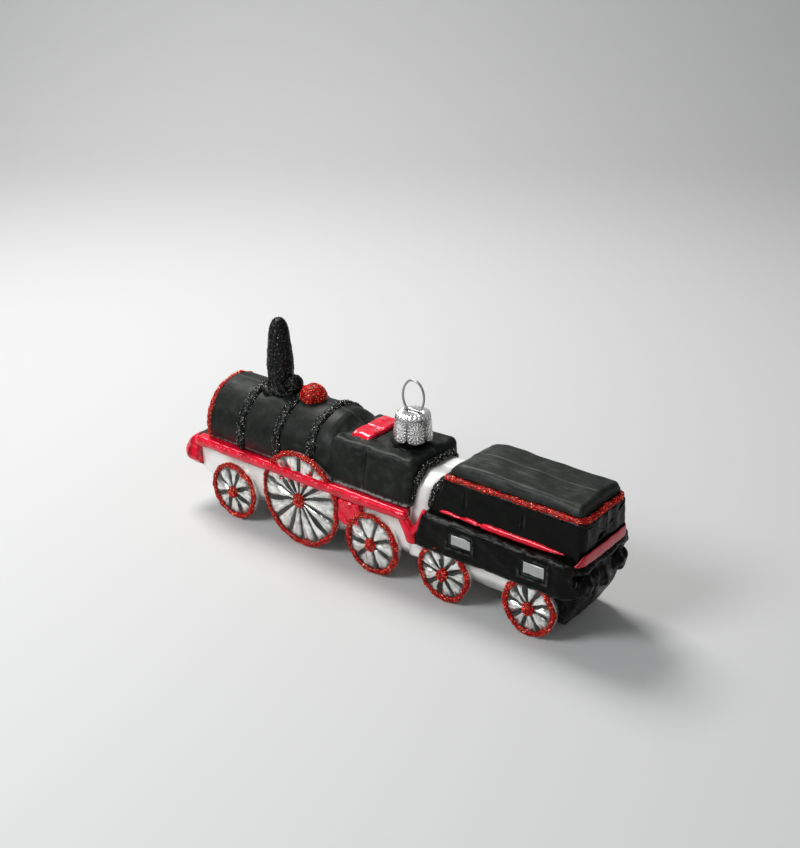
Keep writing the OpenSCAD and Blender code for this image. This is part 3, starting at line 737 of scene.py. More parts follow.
def make_bands():
    """Three black glitter bands laid in arches over the boiler."""
    parts = []
    for i, x in enumerate(BAND_X):
        path, out = arch(BARREL_R + 0.05, x)
        parts += glue_line(path, out, np.broadcast_to(ALONG, out.shape), 3.1, 0.75,
                           20 + i * 7, 13, 0.15)
    piece("band_glitter", parts, BLACK_GLITTER, ["boiler_bands"])


def make_ring():
    """Red glitter ring: an arch round the barrel's front edge, tipped forward."""
    path, out = arch(BARREL_R - 0.50, span("smokebox_ring")[0][0] + 1.05)
    tilt = unit(out + ALONG * -0.15)
    parts = glue_line(path, tilt, unit(ALONG + out * 0.15), 2.0, 0.70, 50, 11, 0.17)
    piece("ring_glitter", parts, RED_GLITTER, ["smokebox_ring"])


def lump(centre, radii, seed, rough=0.12, around=36, rows=22):
    """Closed uneven ball: an ellipsoid moved by a smooth random field."""
    v = np.linspace(-math.pi / 2, math.pi / 2, rows)[:, None]
    u = np.linspace(0, TAU, around, endpoint=False)[None]
    ball = np.stack([np.cos(v) * np.cos(u), np.cos(v) * np.sin(u), np.sin(v) + 0 * u], -1)
    grid = centre + ball * radii
    grid = grid + ball * (rough * wobble(grid, 3.0, seed))[..., None]
    grid[0], grid[-1] = grid[0].mean(0), grid[-1].mean(0)
    return grid


STACK_R = 3.95        # chimney radius above its foot
STACK_SHIFT = 0.55    # how far its axis stands ahead of the node's middle


def make_chimney():
    """Chimney: a smooth profile turned about its axis, uneven at its flared foot, in a
    lumpy collar of glue that spreads over the boiler."""
    low, high = span("chimney")
    x, top = (low[0] + high[0]) / 2 - STACK_SHIFT, high[2]
    foot, r = BARREL_TOP, STACK_R
    profile = curve([(r + 1.0, foot - 1.8), (r + 0.9, foot - 0.4), (r + 0.55, foot + 0.7),
                     (r - 0.05, foot + 1.7), (r - 0.1, foot + 3.4), (r, foot + 8),
                     (r - 0.35, foot + 13), (r - 0.95, foot + 18), (r - 1.35, top - 2.6),
                     (r - 2.1, top - 0.9), (r - 3.1, top - 0.15), (0.02, top)], 80)
    profile = np.vstack([[0, foot - 1.8], profile, [0, top]])
    stack = revolve(profile, x, 0, 52)
    stack = relief(stack, lambda p: (0.05 + 0.10 * smooth(foot + 2.2, foot + 1, p[..., 2]))
                   * wobble(p, 2.2, 61) + 0.03 * wobble(p, 1.0, 62))
    stack[0], stack[-1] = stack[0].mean(0), stack[-1].mean(0)
    collar = lump(np.array([x - 0.4, 0, foot - 0.3]), (r + 2.6, r + 1.5, 1.7), 64, 0.30, 60, 28)
    parts = glittered(stack, 11, 0.17, 63) + glittered(collar, 11, 0.17, 65)
    piece("chimney_glitter", parts, STACK_GLITTER, ["chimney"])


def make_domes():
    """Small black dome behind the chimney, then the large red one: two uneven balls."""
    _, high = span("sand_dome")
    r = high[1]
    ball = lump(np.array([high[0] - r - 0.1, 0, high[2] - r]), (r, r, r + 0.2), 71)
    piece("sand_dome_glitter", glittered(ball, 11, 0.17, 72), STACK_GLITTER,
          ["sand_dome"])

    low, high = span("steam_dome")
    r = high[1]
    ball = lump(np.array([(low[0] + high[0]) / 2, 0, high[2] - 3.6]),
                (r + 0.45, r + 0.3, 3.3), 81)
    piece("steam_dome_glitter", glittered(ball, 11, 0.2, 82), RED_GLITTER,
          ["steam_dome"])


# ---------------------------------------------------------------- front end
def make_door():
    """Smokebox door: a disc cut off at the deck, swelled by a parabola, with a low knob in
    its middle and a ring pressed in near its edge."""
    low, high = span("smokebox_door")
    a = np.linspace(0, TAU, 96, endpoint=False)
    r = high[1]
    centre_z = BARREL_Z + 0.6
    disc = np.stack([r * 0.92 * np.cos(a), centre_z + (r * 0.92) * np.sin(a)], 1)
    disc[:, 1] = np.maximum(disc[:, 1], DECK_Z + 0.3)
    door = block(disc, np.linspace(low[0] - 0.4, high[0] + 0.4, 12), 0.7, 0.1, rings=14)
    rho = np.hypot(door[..., 1], door[..., 2] - centre_z)
    front = door[..., 0] < high[0]
    swell = np.where(front, 0.9 * (1 - (rho / r) ** 2) + 0.25 * bump(rho, 0, 1.1)
                     - 0.18 * bump(rho, r * 0.74, 0.35), 0)
    door[..., 0] -= swell
    piece("smokebox_door_skin", [skin(door, wear=convex_wear_and_highlight(door))], BLACK,
          ["smokebox_door"])


CURL_Y = 10.2         # middle of each curled buffer on the beam
CURL_Z = 17.4
CURL_R = 2.1          # radius of its groove at the start of the turn


def make_beam():
    """Front beam: a rounded bar that carries two domed buffers, each with a spiral groove,
    and a low hook boss in the middle."""
    low, high = span("front_beam")
    outline = section([(high[1], low[2], 4.4), (high[1], high[2] - 0.7, 4.0)], 140, 3)
    beam = block(outline, np.linspace(low[0] + 0.9, high[0] - 0.3, 40), 3.2, 0.5, rings=20)

    def curl(p):
        """Distance from the buffer's middle, and its spiral: rho less a turn's share."""
        y, z = np.abs(p[..., 1]) - CURL_Y, p[..., 2] - CURL_Z
        rho = np.hypot(y, z)
        return rho, rho - 0.55 * np.arctan2(z, y) / math.pi

    def buffers(p):
        front = smooth(low[0] + 4.6, low[0] + 2.2, p[..., 0])
        rho, spiral = curl(p)
        dome = 1.0 * smooth(4.2, 1.8, rho) * front
        groove = 0.32 * bump(spiral, CURL_R, 0.38) * front
        hook = 0.6 * bump(np.hypot(p[..., 1], (p[..., 2] - CURL_Z) * 0.8), 0, 1.8) * front
        end = smooth(12.6, 14.2, np.abs(p[..., 1])) * 0.3 * np.cos((p[..., 2] - 16.4) * 1.1)
        return dome + hook - groove + end + 0.12 * wobble(p, 5, 91) + seam(p)

    _, spiral = curl(beam)
    # Painted shade in the spiral grooves, along the beam's foot and near the front of its side ends.
    shade = 0.9 * bump(spiral, CURL_R, 0.45) + 0.8 * smooth(low[2] + 2.4, low[2] + 0.6, beam[..., 2]) \
        + 0.9 * bump(beam[..., 0], low[0] + 3.6, 0.5) * smooth(11, 14, np.abs(beam[..., 1]))
    beam = relief(beam, buffers)
    piece("front_beam_skin", [skin(beam, wear=convex_wear_and_highlight(beam), shade=shade)], RED,
          ["front_beam"])


def make_deck():
    """Front deck: a slab with rounded shoulders that sinks towards the beam by a smooth
    step and grows narrower by a twentieth."""
    low, high = span("front_deck")
    nose = span("front_beam")[0][0] + 2.2
    outline = section([(high[1], low[2] - 1.2, 0.8), (high[1], high[2] - 0.4, 1.2),
                       (high[1] - 4, high[2], 4)], 130, 3)
    deck = block(outline, np.linspace(nose, high[0] + 0.8, 46), 1.4, 0.2)
    fall = smooth(high[0] - 0.5, nose - 1.0, deck[..., 0])
    deck[..., 2] -= 2.3 * fall
    deck[..., 1] *= 1 - 0.05 * fall
    deck = relief(deck, lambda p: 0.12 * wobble(p, 4, 92) + seam(p))
    piece("front_deck_skin", [skin(deck, wear=convex_wear_and_highlight(deck) * 0.5)], BLACK,
          ["front_deck"])


# ---------------------------------------------------------------- cab, hatch, neck
def make_cab():
    """Cab block: sloping sides with two raised panels and the groove between them, soft
    eaves and a rubbed foot."""
    foot, eave = CAB_HIGH[1], 10.9
    outline = section([(foot, DECK_Z - 0.2, 0.3), (foot, DECK_Z + 1.1, 0.5),
                       (eave, ROOF_Z, 1.9)], 150)
    split = CAB_LOW[0] + 12.9
    xs = spread(CAB_LOW[0] - 0.1, CAB_HIGH[0] + 0.3, 84, [split], 1.2, 3)
    cab = block(outline, xs, 1.5, 2.3, rings=7, arc=9)

    def panels(p):
        x, y, z = p[..., 0], np.abs(p[..., 1]), p[..., 2]
        side = smooth(9.6, 10.8, y) * smooth(DECK_Z + 0.8, DECK_Z + 1.6, z)
        upright = smooth(ROOF_Z - 0.6, ROOF_Z - 2.2, z)
        groove = 0.42 * bump(x, split, 0.42) * upright
        lift = 0.22 * smooth(0.5, 1.6, np.abs(x - split)) \
            * smooth(0.7, 1.9, x - CAB_LOW[0] - 0.8) * smooth(0.7, 1.9, CAB_HIGH[0] - 1.6 - x) \
            * smooth(0.3, 1.2, z - DECK_Z - 1.5) * smooth(0.2, 1.2, ROOF_Z - 2.0 - z)
        line = 0.30 * bump(z, DECK_Z + 1.35, 0.32)
        top = 0.16 * bump(z, ROOF_Z - 2.1, 0.45)
        roof = smooth(ROOF_Z - 0.5, ROOF_Z - 0.1, z) * smooth(9.5, 8.5, y)
        return side * (lift - groove - line - top) + roof * 0.12 * wobble(p, 4, 101) \
            + 0.09 * wobble(p, 8, 102) + 0.035 * wobble(p, 2.6, 103) + seam(p)

    rub = bump(cab[..., 2], DECK_Z + 0.5, 0.42) * smooth(9, 11, np.abs(cab[..., 1]))
    cab = relief(cab, panels)
    piece("cab_skin", [skin(cab, wear=convex_wear_and_highlight(cab), rub=rub)], BLACK, ["cab"])


def make_hatch():
    """Red roof hatch: a slab that droops at both ends and sits a little to the right."""
    low, high = span("roof_hatch")
    half, shift = high[1] + 0.5, 1.15
    outline = section([(half, low[2] - 0.5, 0.5), (half, high[2] - 0.1, 0.9)], 140)
    hatch = block(outline, np.linspace(low[0], high[0], 36), 0.7, 0.7)
    hatch[..., 2] -= 0.9 * smooth(half - 3.0, half + 0.4, np.abs(hatch[..., 1])) ** 2
    hatch[..., 1] += shift + 0.10 * hatch[..., 1]
    hatch = relief(hatch, lambda p: 0.10 * wobble(p, 4, 111) - 0.28 * bump(p[..., 1], 0, 0.3))
    piece("roof_hatch_skin", [skin(hatch, wear=convex_wear_and_highlight(hatch))], RED,
          ["roof_hatch"])


NECK_LOW, NECK_HIGH = span("neck")
NECK_X = (NECK_LOW[0] + NECK_HIGH[0]) / 2
CAP_LOW, CAP_HIGH = span("cap")
CAP_TOP = CAP_HIGH[2]


NECK_R = 4.3          # outside of the glass tube
NECK_BORE = 3.6       # radius of its bore


def make_neck():
    """Open glass neck: a profile turned about its axis, with a flared foot on the roof that
    a smooth random field makes lumpy, a plain tube and its open bore."""
    r, bore = NECK_R, NECK_BORE
    floor, top = NECK_LOW[2], NECK_HIGH[2]
    outer = curve([(r + 2.1, floor - 0.5), (r + 1.5, floor + 0.15), (r + 0.6, floor + 0.7),
                   (r, floor + 1.4), (r, floor + 4), (r, top - 0.5)], 30)
    rim = np.array([(r - 0.08, top - 0.15), (r - 0.3, top), (bore + 0.1, top - 0.05)])
    inner = np.array([(bore, top - 0.5), (bore, floor + 1.4), (bore - 0.6, floor + 0.8),
                      (0.02, floor + 0.75)])
    profile = np.vstack([[0, floor - 0.5], outer, rim, inner, [0, floor + 0.75]])
    neck = revolve(profile, NECK_X, 0, 64)
    low_part = smooth(floor + 1.5, floor + 0.2, neck[..., 2]) \
        * (np.hypot(neck[..., 0] - NECK_X, neck[..., 1]) > bore + 0.3)
    radial = unit((neck - [NECK_X, 0, 0]) * [1, 1, 0])
    neck = neck + radial * (low_part * 0.22 * wobble(neck, 3.6, 121))[..., None]
    neck[0], neck[-1] = neck[0].mean(0), neck[-1].mean(0)
    piece("neck_glass", [skin(neck, wear=0.0)], GLOSS_BLACK, ["neck"])


# ---------------------------------------------------------------- chassis and rails
def make_chassis():
    """Silver underframe of the locomotive: a keeled section whose lower line falls from
    the beam to the keel and rises behind the driving wheels."""
    keel, rear = CHASSIS_LOW[2], CHASSIS_HIGH[0]
    outline = section([(8.6, keel, 2.4), (SIDE_Y, keel + 4.2, 3.0),
                       (SIDE_Y, DECK_Z - 0.1, 0.3)], 120)
    nose = span("front_beam")[0][0] + 3.4
    frame_x = np.linspace(nose, rear, 100)
    chassis = block(outline, frame_x, 1.6, 0.3, rings=7)
    x = chassis[..., 0]
    bottom = np.interp(x, [nose, nose + 1.3, nose + 2.6, nose + 5.5, nose + 10, CAB_LOW[0],
                           CAB_LOW[0] + 8, rear],
                       [13.0, 11.2, 9.9, 8.4, keel, keel, keel + 2, keel + 2])
    top = DECK_Z - 0.1 - 2.6 * smooth(BOILER_LOW[0] + 0.6, nose + 2, x)
    share = (chassis[..., 2] - keel) / (DECK_Z - 0.1 - keel)
    chassis[..., 2] = bottom + share * (top - bottom)
    chassis[..., 1] *= 1 - 0.04 * smooth(nose + 9, nose - 1, x)
    # Painted shade: dark along the nose's front edge and darker towards the bottom behind it.
    shade = smooth(nose + 1.5, nose + 0.7, x) * 0.9 + 0.45 * smooth(15, 6, chassis[..., 2]) \
        * smooth(nose + 6, nose + 14, x)
    chassis = relief(chassis, lambda p: 0.12 * wobble(p, 9, 131) + 0.04 * wobble(p, 3, 132)
                     + seam(p))
    piece("chassis_glass", [skin(chassis, shade=shade)], SILVER,
          ["loco_chassis"])


RAIL_LOW, RAIL_HIGH = span("running_boards")
RAIL_Z = (RAIL_LOW[2] + RAIL_HIGH[2]) / 2
HOOK_FOOT = span("rail_hooks")[0][2]


def rail_part(seed):
    """Left rail: a flattened rod along the running board with a drip-shaped hook under its
    rear end, and a thin branch from the hook up to the tender's corner."""
    z = RAIL_Z
    y = -(RAIL_HIGH[1] - 1.45)
    x0, x1 = RAIL_LOW[0] - 0.2, RAIL_HIGH[0] + 0.3
    along = np.linspace(0, 1, 96)
    along = np.sort(np.concatenate([along, [0.004, 0.01, 0.99, 0.996]]))
    path = np.stack([x0 + (x1 - x0) * along, y + 0 * along, z + 0 * along], 1)
    out = np.broadcast_to(np.array([0, -1.0, 0]), path.shape)
    side = np.broadcast_to(UP, path.shape)
    end = np.sqrt(np.clip(1 - smooth(x0 + 1.7, x0, path[:, 0]) ** 2, 0.001, 1)) \
        * np.sqrt(np.clip(1 - smooth(x1 - 1.4, x1, path[:, 0]) ** 2, 0.001, 1))
    width = 3.35 * (1 + 0.03 * wobble(path, 12, seed)) * (0.25 + 0.75 * end)
    grid = bead(path, out, side, width, 1.45 * end, 28)
    grid = relief(grid, lambda p: 0.05 * wobble(p, 5, seed + 1)
                  + 0.10 * bump(p[..., 2], z + 0.75, 0.3) - 0.12 * bump(p[..., 2], z - 0.5, 0.2)
                  - 0.06 * bump(p[..., 2], z + 0.25, 0.2))

    stem = curve([(x1 - 2.9, y + 0.2, z + 0.2), (x1 - 1.3, y + 0.25, z - 1.8),
                  (x1 - 0.1, y + 0.35, z - 3.6), (x1 + 0.7, y + 0.4, z - 5.2),
                  (x1 + 1.2, y + 0.5, z - 6.6), (x1 + 1.3, y + 0.7, HOOK_FOOT + 0.1)], 44)
    t = np.linspace(0, 1, 44)
    thick = np.interp(t, [0, 0.3, 0.6, 0.85, 1], [1.4, 1.75, 1.9, 2.0, 1.4])
    thick = thick * np.sqrt(np.clip(1 - smooth(0.86, 1.0, t) ** 2, 0.002, 1))
    hook = tube(stem, thick, 18)
    hook[..., 1] = y + 0.4 + (hook[..., 1] - y - 0.4) * 0.85
    branch = curve([(x1 + 0.5, y + 0.5, z - 4.4), (x1 + 2.3, y + 0.5, z - 3.4),
                    (x1 + 3.6, y + 0.5, z - 1.0), (x1 + 4.5, y + 0.6, z + 1.6),
                    (x1 + 5.3, y + 0.9, z + 3.2)], 40)
    thick = np.interp(np.linspace(0, 1, 40), [0, 0.2, 0.55, 0.85, 1],
                      [1.6, 1.25, 0.65, 0.60, 0.80])
    twig = tube(branch, thick, 14)
    return grid, hook, twig


def make_rails():
    """Red rails with hooks on both sides, and the red ledge between rail and
    boiler, darkened behind its front by painted shade."""
    parts, hooks = [], []
    for seed, flip in ((141, False), (147, True)):
        rail, hook, twig = rail_part(seed)
        inner, outer = SIDE_Y - 0.5, RAIL_HIGH[1] - 1.3
        outline = even(fillet([(-outer, DECK_Z - 2.6, 0.3), (-inner, DECK_Z - 2.6, 0.3),
                               (-inner, DECK_Z + 0.1, 0.3), (-outer, DECK_Z - 0.35, 0.4)]), 40)
        ledge = block(outline, np.linspace(RAIL_LOW[0] + 0.4, RAIL_HIGH[0] - 0.6, 90), 0.4, 0.3)
        ledge = relief(ledge, lambda p: 0.08 * wobble(p, 5, seed + 3))
        x = ledge[..., 0]
        # Painted shade darkens the ledge behind its front and on its inner part.
        dark = 0.85 * smooth(-53, -45, x) * smooth(13.1, 12.7, np.abs(ledge[..., 1]))
        # Painted shade in the rail's grooves, and painted highlights along its upper ridge and just
        # under its middle.
        level = rail[..., 2] - RAIL_Z
        groove = 0.60 * bump(level, -0.62, 0.20) + 0.30 * bump(level, 0.20, 0.18)
        painted_ridge_highlight = 2.2 * bump(level, 0.95, 0.30) + 1.2 * bump(level, -0.25, 0.2)
        made = [skin(rail, wear=convex_wear_and_highlight(rail) * 0.5 + painted_ridge_highlight, shade=groove),
                skin(ledge, wear=0.0, shade=dark)]
        hung = [skin(part, wear=convex_wear_and_highlight(part) * 0.4) for part in (hook, twig)]
        parts += [m.mirrored() for m in made] if flip else made
        hooks += [m.mirrored() for m in hung] if flip else hung
    piece("rail_lacquer", parts, RED, ["running_boards"])
    piece("hook_lacquer", hooks, RED, ["rail_hooks"])


def make_guards():
    """Red plates between the driving and trailing wheels, crumpled by two random fields."""
    low, high = span("axle_guards")
    outer, inner = -high[1] - 0.3, -SIDE_Y + 0.4
    foot, top = low[2] + 0.4, high[2] + 2.9
    outline = even(fillet([(outer, foot, 0.7), (inner, foot, 0.3), (inner, top, 0.3),
                           (outer, top, 0.7)]), 60)
    plate = block(outline, np.linspace(low[0] - 0.2, high[0] + 1.0, 34), 0.7, 0.7)
    plate = relief(plate, lambda p: 0.10 * wobble(p, 3.2, 151) + 0.07 * wobble(p, 0.9, 152))
    piece("axle_guard_lacquer", both_sides(skin(plate, wear=convex_wear_and_highlight(plate))), RED,
          ["axle_guards"])


# ---------------------------------------------------------------- wheels
SPOKES = {"leading_wheels": 8, "driving_wheels": 14, "trailing_wheels": 7,
          "tender_front_wheels": 9, "tender_rear_wheels": 9}
RIM = 1.55            # width of the glitter rim
FACE_Y = 13.9         # distance of a wheel's face from the middle plane
TENDER_INSET = 0.5    # the tender's wheels stand this much further in
LINE = 0.30           # half width of the crease along a spoke
PETAL_RINGS = 28      # rings of points from hub to rim
DRIVING_HUB = 2.25    # radius of a driving wheel's glitter hub
PLAIN_HUB = 1.85      # and of the other wheels'


def spoke_angles(node):
    """Angles of a wheel's spokes, a little uneven as drawn by hand."""
    count = SPOKES[node]
    rng = np.random.default_rng(200 + WHEEL_NODES.index(node))
    return (np.arange(count) + rng.uniform(-0.13, 0.13, count) + 0.5) * TAU / count


def face_depth(rho, theta, radius, angles):
    """How far the wheel's face stands out, and how deep in a crease it lies: petals swell
    between the spokes, fade to hub and rim, and carry two or three soft folds each."""
    gap = (theta[..., None] - angles + math.pi) % TAU - math.pi
    nearest = np.maximum(np.abs(gap).min(-1) * rho - LINE, 0)
    width = math.pi * rho / len(angles)
    t = np.clip(nearest / np.maximum(width - LINE, 0.05), 0, 1)
    swell = np.sin(t * math.pi / 2) ** 0.75
    reach = smooth(0.8, 2.6, rho) * smooth(radius - RIM + 0.5, radius - RIM - 2.4, rho)
    fold = np.cos(theta * len(angles) * 2.6 + 1.3 * np.sin(rho * 0.9) + 0.15 * rho)
    fold = fold * smooth(0.15, 0.6, t) * smooth(2.2, 4.5, rho)
    dish = 0.45 * (1 - (rho / radius) ** 2)
    depth = dish + (0.80 * swell - 0.40) * reach + 0.11 * fold * reach
    return depth, 1 - swell * reach - 0.30 * fold * reach


def wheel_size(node):
    """Radius, middle x and distance of the face from the middle plane."""
    low, high = span(node)
    inset = TENDER_INSET if node.startswith("tender") else 0.0
    return (high[0] - low[0]) / 2, (high[0] + low[0]) / 2, FACE_Y - inset


def wheel_disc(node, seed):
    """Left wheel's silver drum in polar coordinates: a domed face with its petals, an edge
    that turns in, and a plain back."""
    radius, cx, face = wheel_size(node)
    cz = radius
    angles = spoke_angles(node)
    theta = np.linspace(0, TAU, 16 * len(angles), endpoint=False)
    rho = np.concatenate([[0.0], np.linspace(0.5, radius - RIM + 0.2, PETAL_RINGS),
                          [radius - 0.9, radius - 0.65, radius - 0.5, radius - 0.45,
                           radius - 0.5, radius - 0.65, radius - 0.75, 0.0]])
    y = np.concatenate([np.full(PETAL_RINGS + 1, face),
                        [face + 0.1, face + 0.05, face - 0.15, face - 0.5, face - 1.2,
                         SIDE_Y - 0.2, SIDE_Y - 0.6, SIDE_Y - 0.6]])
    r, a = np.broadcast_arrays(rho[:, None], theta[None])
    depth, hollow = face_depth(r, a, radius, angles)
    facing = (np.arange(len(rho)) <= PETAL_RINGS)[:, None]
    out = y[:, None] + np.where(facing, depth, 0)
    grid = np.stack([cx + r * np.cos(a), -out, cz + r * np.sin(a)], -1)
    grid = grid + (0.07 * wobble(grid, 3, seed))[..., None] * [0, 1, 0] * facing[..., None]
    grid[0] = grid[0].mean(0)
    smear = bump(grid[..., 2], DECK_Z + 0.6, 1.0) + bump(grid[..., 2], RAIL_LOW[2] - 0.7, 0.9)
    smear = np.clip(smear, 0, 1) * facing * (node == "driving_wheels")
    return skin(grid, hollow=np.where(facing, hollow, 0), smear=smear)


def wheel_spokes(node, seed):
    """Painted spokes of a left wheel: flat strips that follow the face, each with its own
    bend, sway and widest place."""
    radius, cx, face = wheel_size(node)
    cz = radius
    angles = spoke_angles(node)
    spokes = []
    rng = np.random.default_rng(seed + 1)
    s = np.linspace(0, 1, 24)[:, None]
    phi = np.linspace(0, TAU, 8, endpoint=False)[None]
    hub = hub_radius(node)
    for angle in angles:
        bend, sway = rng.uniform(-0.55, 0.55), rng.uniform(-0.3, 0.3)
        widest = rng.uniform(0.2, 0.9)
        stop = radius - RIM + 0.35 - rng.uniform(0, 0.3)
        reach = hub * 0.6 + (stop - hub * 0.6) * s
        aside = bend * np.sin(s * math.pi) + sway * np.sin(s * TAU)
        thick = rng.uniform(0.95, 1.3) * (0.45 + 0.55 * bump(s, widest, 0.42))
        thick = thick * smooth(-0.35, 0.4, s)
        thick = thick * np.sqrt(np.clip(1 - ((s - 0.5) * 2) ** 16, 0, 1)) + 0.03
        aside = aside + thick / 2 * np.cos(phi)
        rr = np.hypot(reach, aside)
        tt = angle + np.arctan2(aside, reach)
        depth, _ = face_depth(rr, tt, radius, angles)
        lift = depth + 0.03 + 0.10 * np.sin(phi) * np.clip(thick * 2, 0, 1)
        strip = np.stack([cx + rr * np.cos(tt), -(face + lift), cz + rr * np.sin(tt)], -1)
        strip = np.concatenate([strip[:1] * 0 + strip[0].mean(0), strip,
                                strip[:1] * 0 + strip[-1].mean(0)])
        spokes.append(skin(strip))
    return spokes


def wheel_rim(node, seed):
    """Red glitter rim of a left wheel: a wavering circle of glue, thinner along the
    driving wheel's front edge."""
    radius, cx, face = wheel_size(node)
    turn = np.linspace(0, TAU, int(15 * radius), endpoint=False)
    radial = np.stack([np.cos(turn), 0 * turn, np.sin(turn)], 1)
    reach = radius - 0.90 - 0.2 * (FACE_Y - face)
    path = np.array([cx, -(face + 0.20), radius]) + radial * reach
    path = path + radial * (0.10 * wobble(path, 5, seed + 2))[:, None]
    width = np.full(len(turn), RIM)
    if node == "driving_wheels":
        width = width * (1 - 0.42 * bump(turn, math.pi * 0.93, 0.55))
    out_dir = unit(radial * 0.25 + [0, -1.0, 0])
    across = unit(np.cross(out_dir, np.cross(radial, out_dir)))
    return glue_line(path, out_dir, across, width, 0.55, seed + 3, 8.5, 0.19, loop=True)


def wheel_hub(node, seed):
    """Red glitter hub of a left wheel: a flattened ball a little below the middle."""
    radius, cx, face = wheel_size(node)
    hub = hub_radius(node)
    button = lump(np.array([cx, -(face + 0.75), radius - 0.35]), (hub, 1.2, hub), seed + 9,
                  0.10, 28, 16)
    return glittered(button, 10, 0.19, seed + 10)


def hub_radius(node):
    """Hub size: larger on the driving wheels."""
    return DRIVING_HUB if node == "driving_wheels" else PLAIN_HUB


def make_wheels():
    """Five wheels on each side: drums stay one piece per pair, while the painted spokes,
    rims and hubs of all wheels are one piece each."""
    spokes, rims, hubs = [], [], []
    for i, node in enumerate(WHEEL_NODES):
        drums = []
        for side in (0, 1):
            seed = 300 + 40 * i + 17 * side
            groups = ((drums, [wheel_disc(node, seed)]), (spokes, wheel_spokes(node, seed)),
                      (rims, wheel_rim(node, seed)), (hubs, wheel_hub(node, seed)))
            for target, made in groups:
                target += [m.mirrored() for m in made] if side else made
        piece(node + "_glass", drums, WHEEL, [node])
    piece("spoke_lines", spokes, SPOKE, ["wheel_spokes"])
    piece("rim_glitter", rims, RED_GLITTER, ["wheel_rims"])
    piece("hub_glitter", hubs, RED_GLITTER, ["wheel_hubs"])


# ---------------------------------------------------------------- waist and tender
def waist_outline(count, grow=0.0, gain=0.0):
    """The waist's section, an arch on a wider foot, grown outwards above the foot."""
    return section([(SIDE_Y, WAIST_LOW[2], 1.5), (SIDE_Y, 18.6, 2.5), (10.2 + grow, 25.5, 5),
                    (9.9 + grow, WAIST_HIGH[2] + grow, 5.5)], count, gain)


def make_waist():
    """Silver saddle between cab and tender, narrowed and lowered in its middle by a
    parabola, and shaded towards both edges."""
    outline = waist_outline(130, gain=4)
    xs = np.linspace(WAIST_LOW[0] - 0.4, WAIST_HIGH[0] + 2.6, 56)
    waist = block(outline, xs, 0.3, 0.3)
    mid, half, level = 20.5, 5.0, 20
    dip = 1 - 0.05 * np.clip(1 - ((waist[..., 0] - mid) / half) ** 2, 0, 1)
    waist[..., 1] *= dip
    waist[..., 2] = level + (waist[..., 2] - level) * np.where(waist[..., 2] > level, dip, 1)
    waist = relief(waist, lambda p: 0.07 * wobble(p, 7, 161) + seam(p))
    middle = np.interp(waist[..., 2], [24, 31, 36, 38], [18.7, 19.2, 22.2, 23.0])
    shade = 0.42 * smooth(0.8, 3.0, np.abs(waist[..., 0] - middle))
    piece("waist_glass", [skin(waist, shade=shade)], SILVER, ["waist"])


def make_waist_lines():
    """Two black glitter lines over the waist. Both lean back as they rise, like the tank's
    front, and thin out on the right side."""
    heights = [24, 28.5, 33, 36.5]
    for name, node, grow, leans, widths, seed in (
            ("cab_bead_glitter", "cab_bead", 0.25, [16.1, 16.4, 17.1, 17.5],
             [1.5, 1.8, 2.4, 2.8], 171),
            ("waist_bead_glitter", "waist_bead", 0.75, [22.7, 23.3, 25.0, 27.2],
             [1.7, 1.8, 2.2, 2.4], 181)):
        line = waist_outline(400, grow)
        line = line[line[:, 1] > span(node)[0][2] + 0.3]
        line = line[np.argsort(np.arctan2(line[:, 1] - 22, line[:, 0]))]
        line = even(line, 140, closed=False)
        path = np.stack([np.interp(line[:, 1], heights, leans), line[:, 0], line[:, 1]], 1)
        direction = unit(np.gradient(path, axis=0))
        out = unit(np.cross(direction, -ALONG))
        if (out * (path - [path[0, 0], 0, 22])).sum() < 0:
            out = -out
        side = unit(np.cross(direction, out))
        thin = 1 - 0.55 * smooth(5, 9.5, line[:, 0])
        width = np.interp(line[:, 1], heights, widths) * thin
        parts = glue_line(path, out, side, width, 0.7 * thin, seed, 11, 0.165)
        piece(name, parts, BLACK_GLITTER, [node])


def sill_windows():
    """Centres and half sizes of the two windows on the left side, as x, z, half x, half z."""
    low, high = span("tender_windows")
    front = (low[0], low[0] + 6.5, low[2] + 0.1, low[2] + 3.1)
    rear = (high[0] - 6.5, high[0], high[2] - 3.4, high[2])
    return [((a + b) / 2, (c + d) / 2, (b - a) / 2, (d - c) / 2) for a, b, c, d in (front, rear)]


def frame_distance(p, window, grow):
    """Distance from a window's rectangle, grown, in the x and z plane: negative inside."""
    cx, cz, hx, hz = window
    dx = np.abs(p[..., 0] - cx) - hx - grow
    dz = np.abs(p[..., 2] - cz) - hz - grow
    return np.maximum(dx, dz)


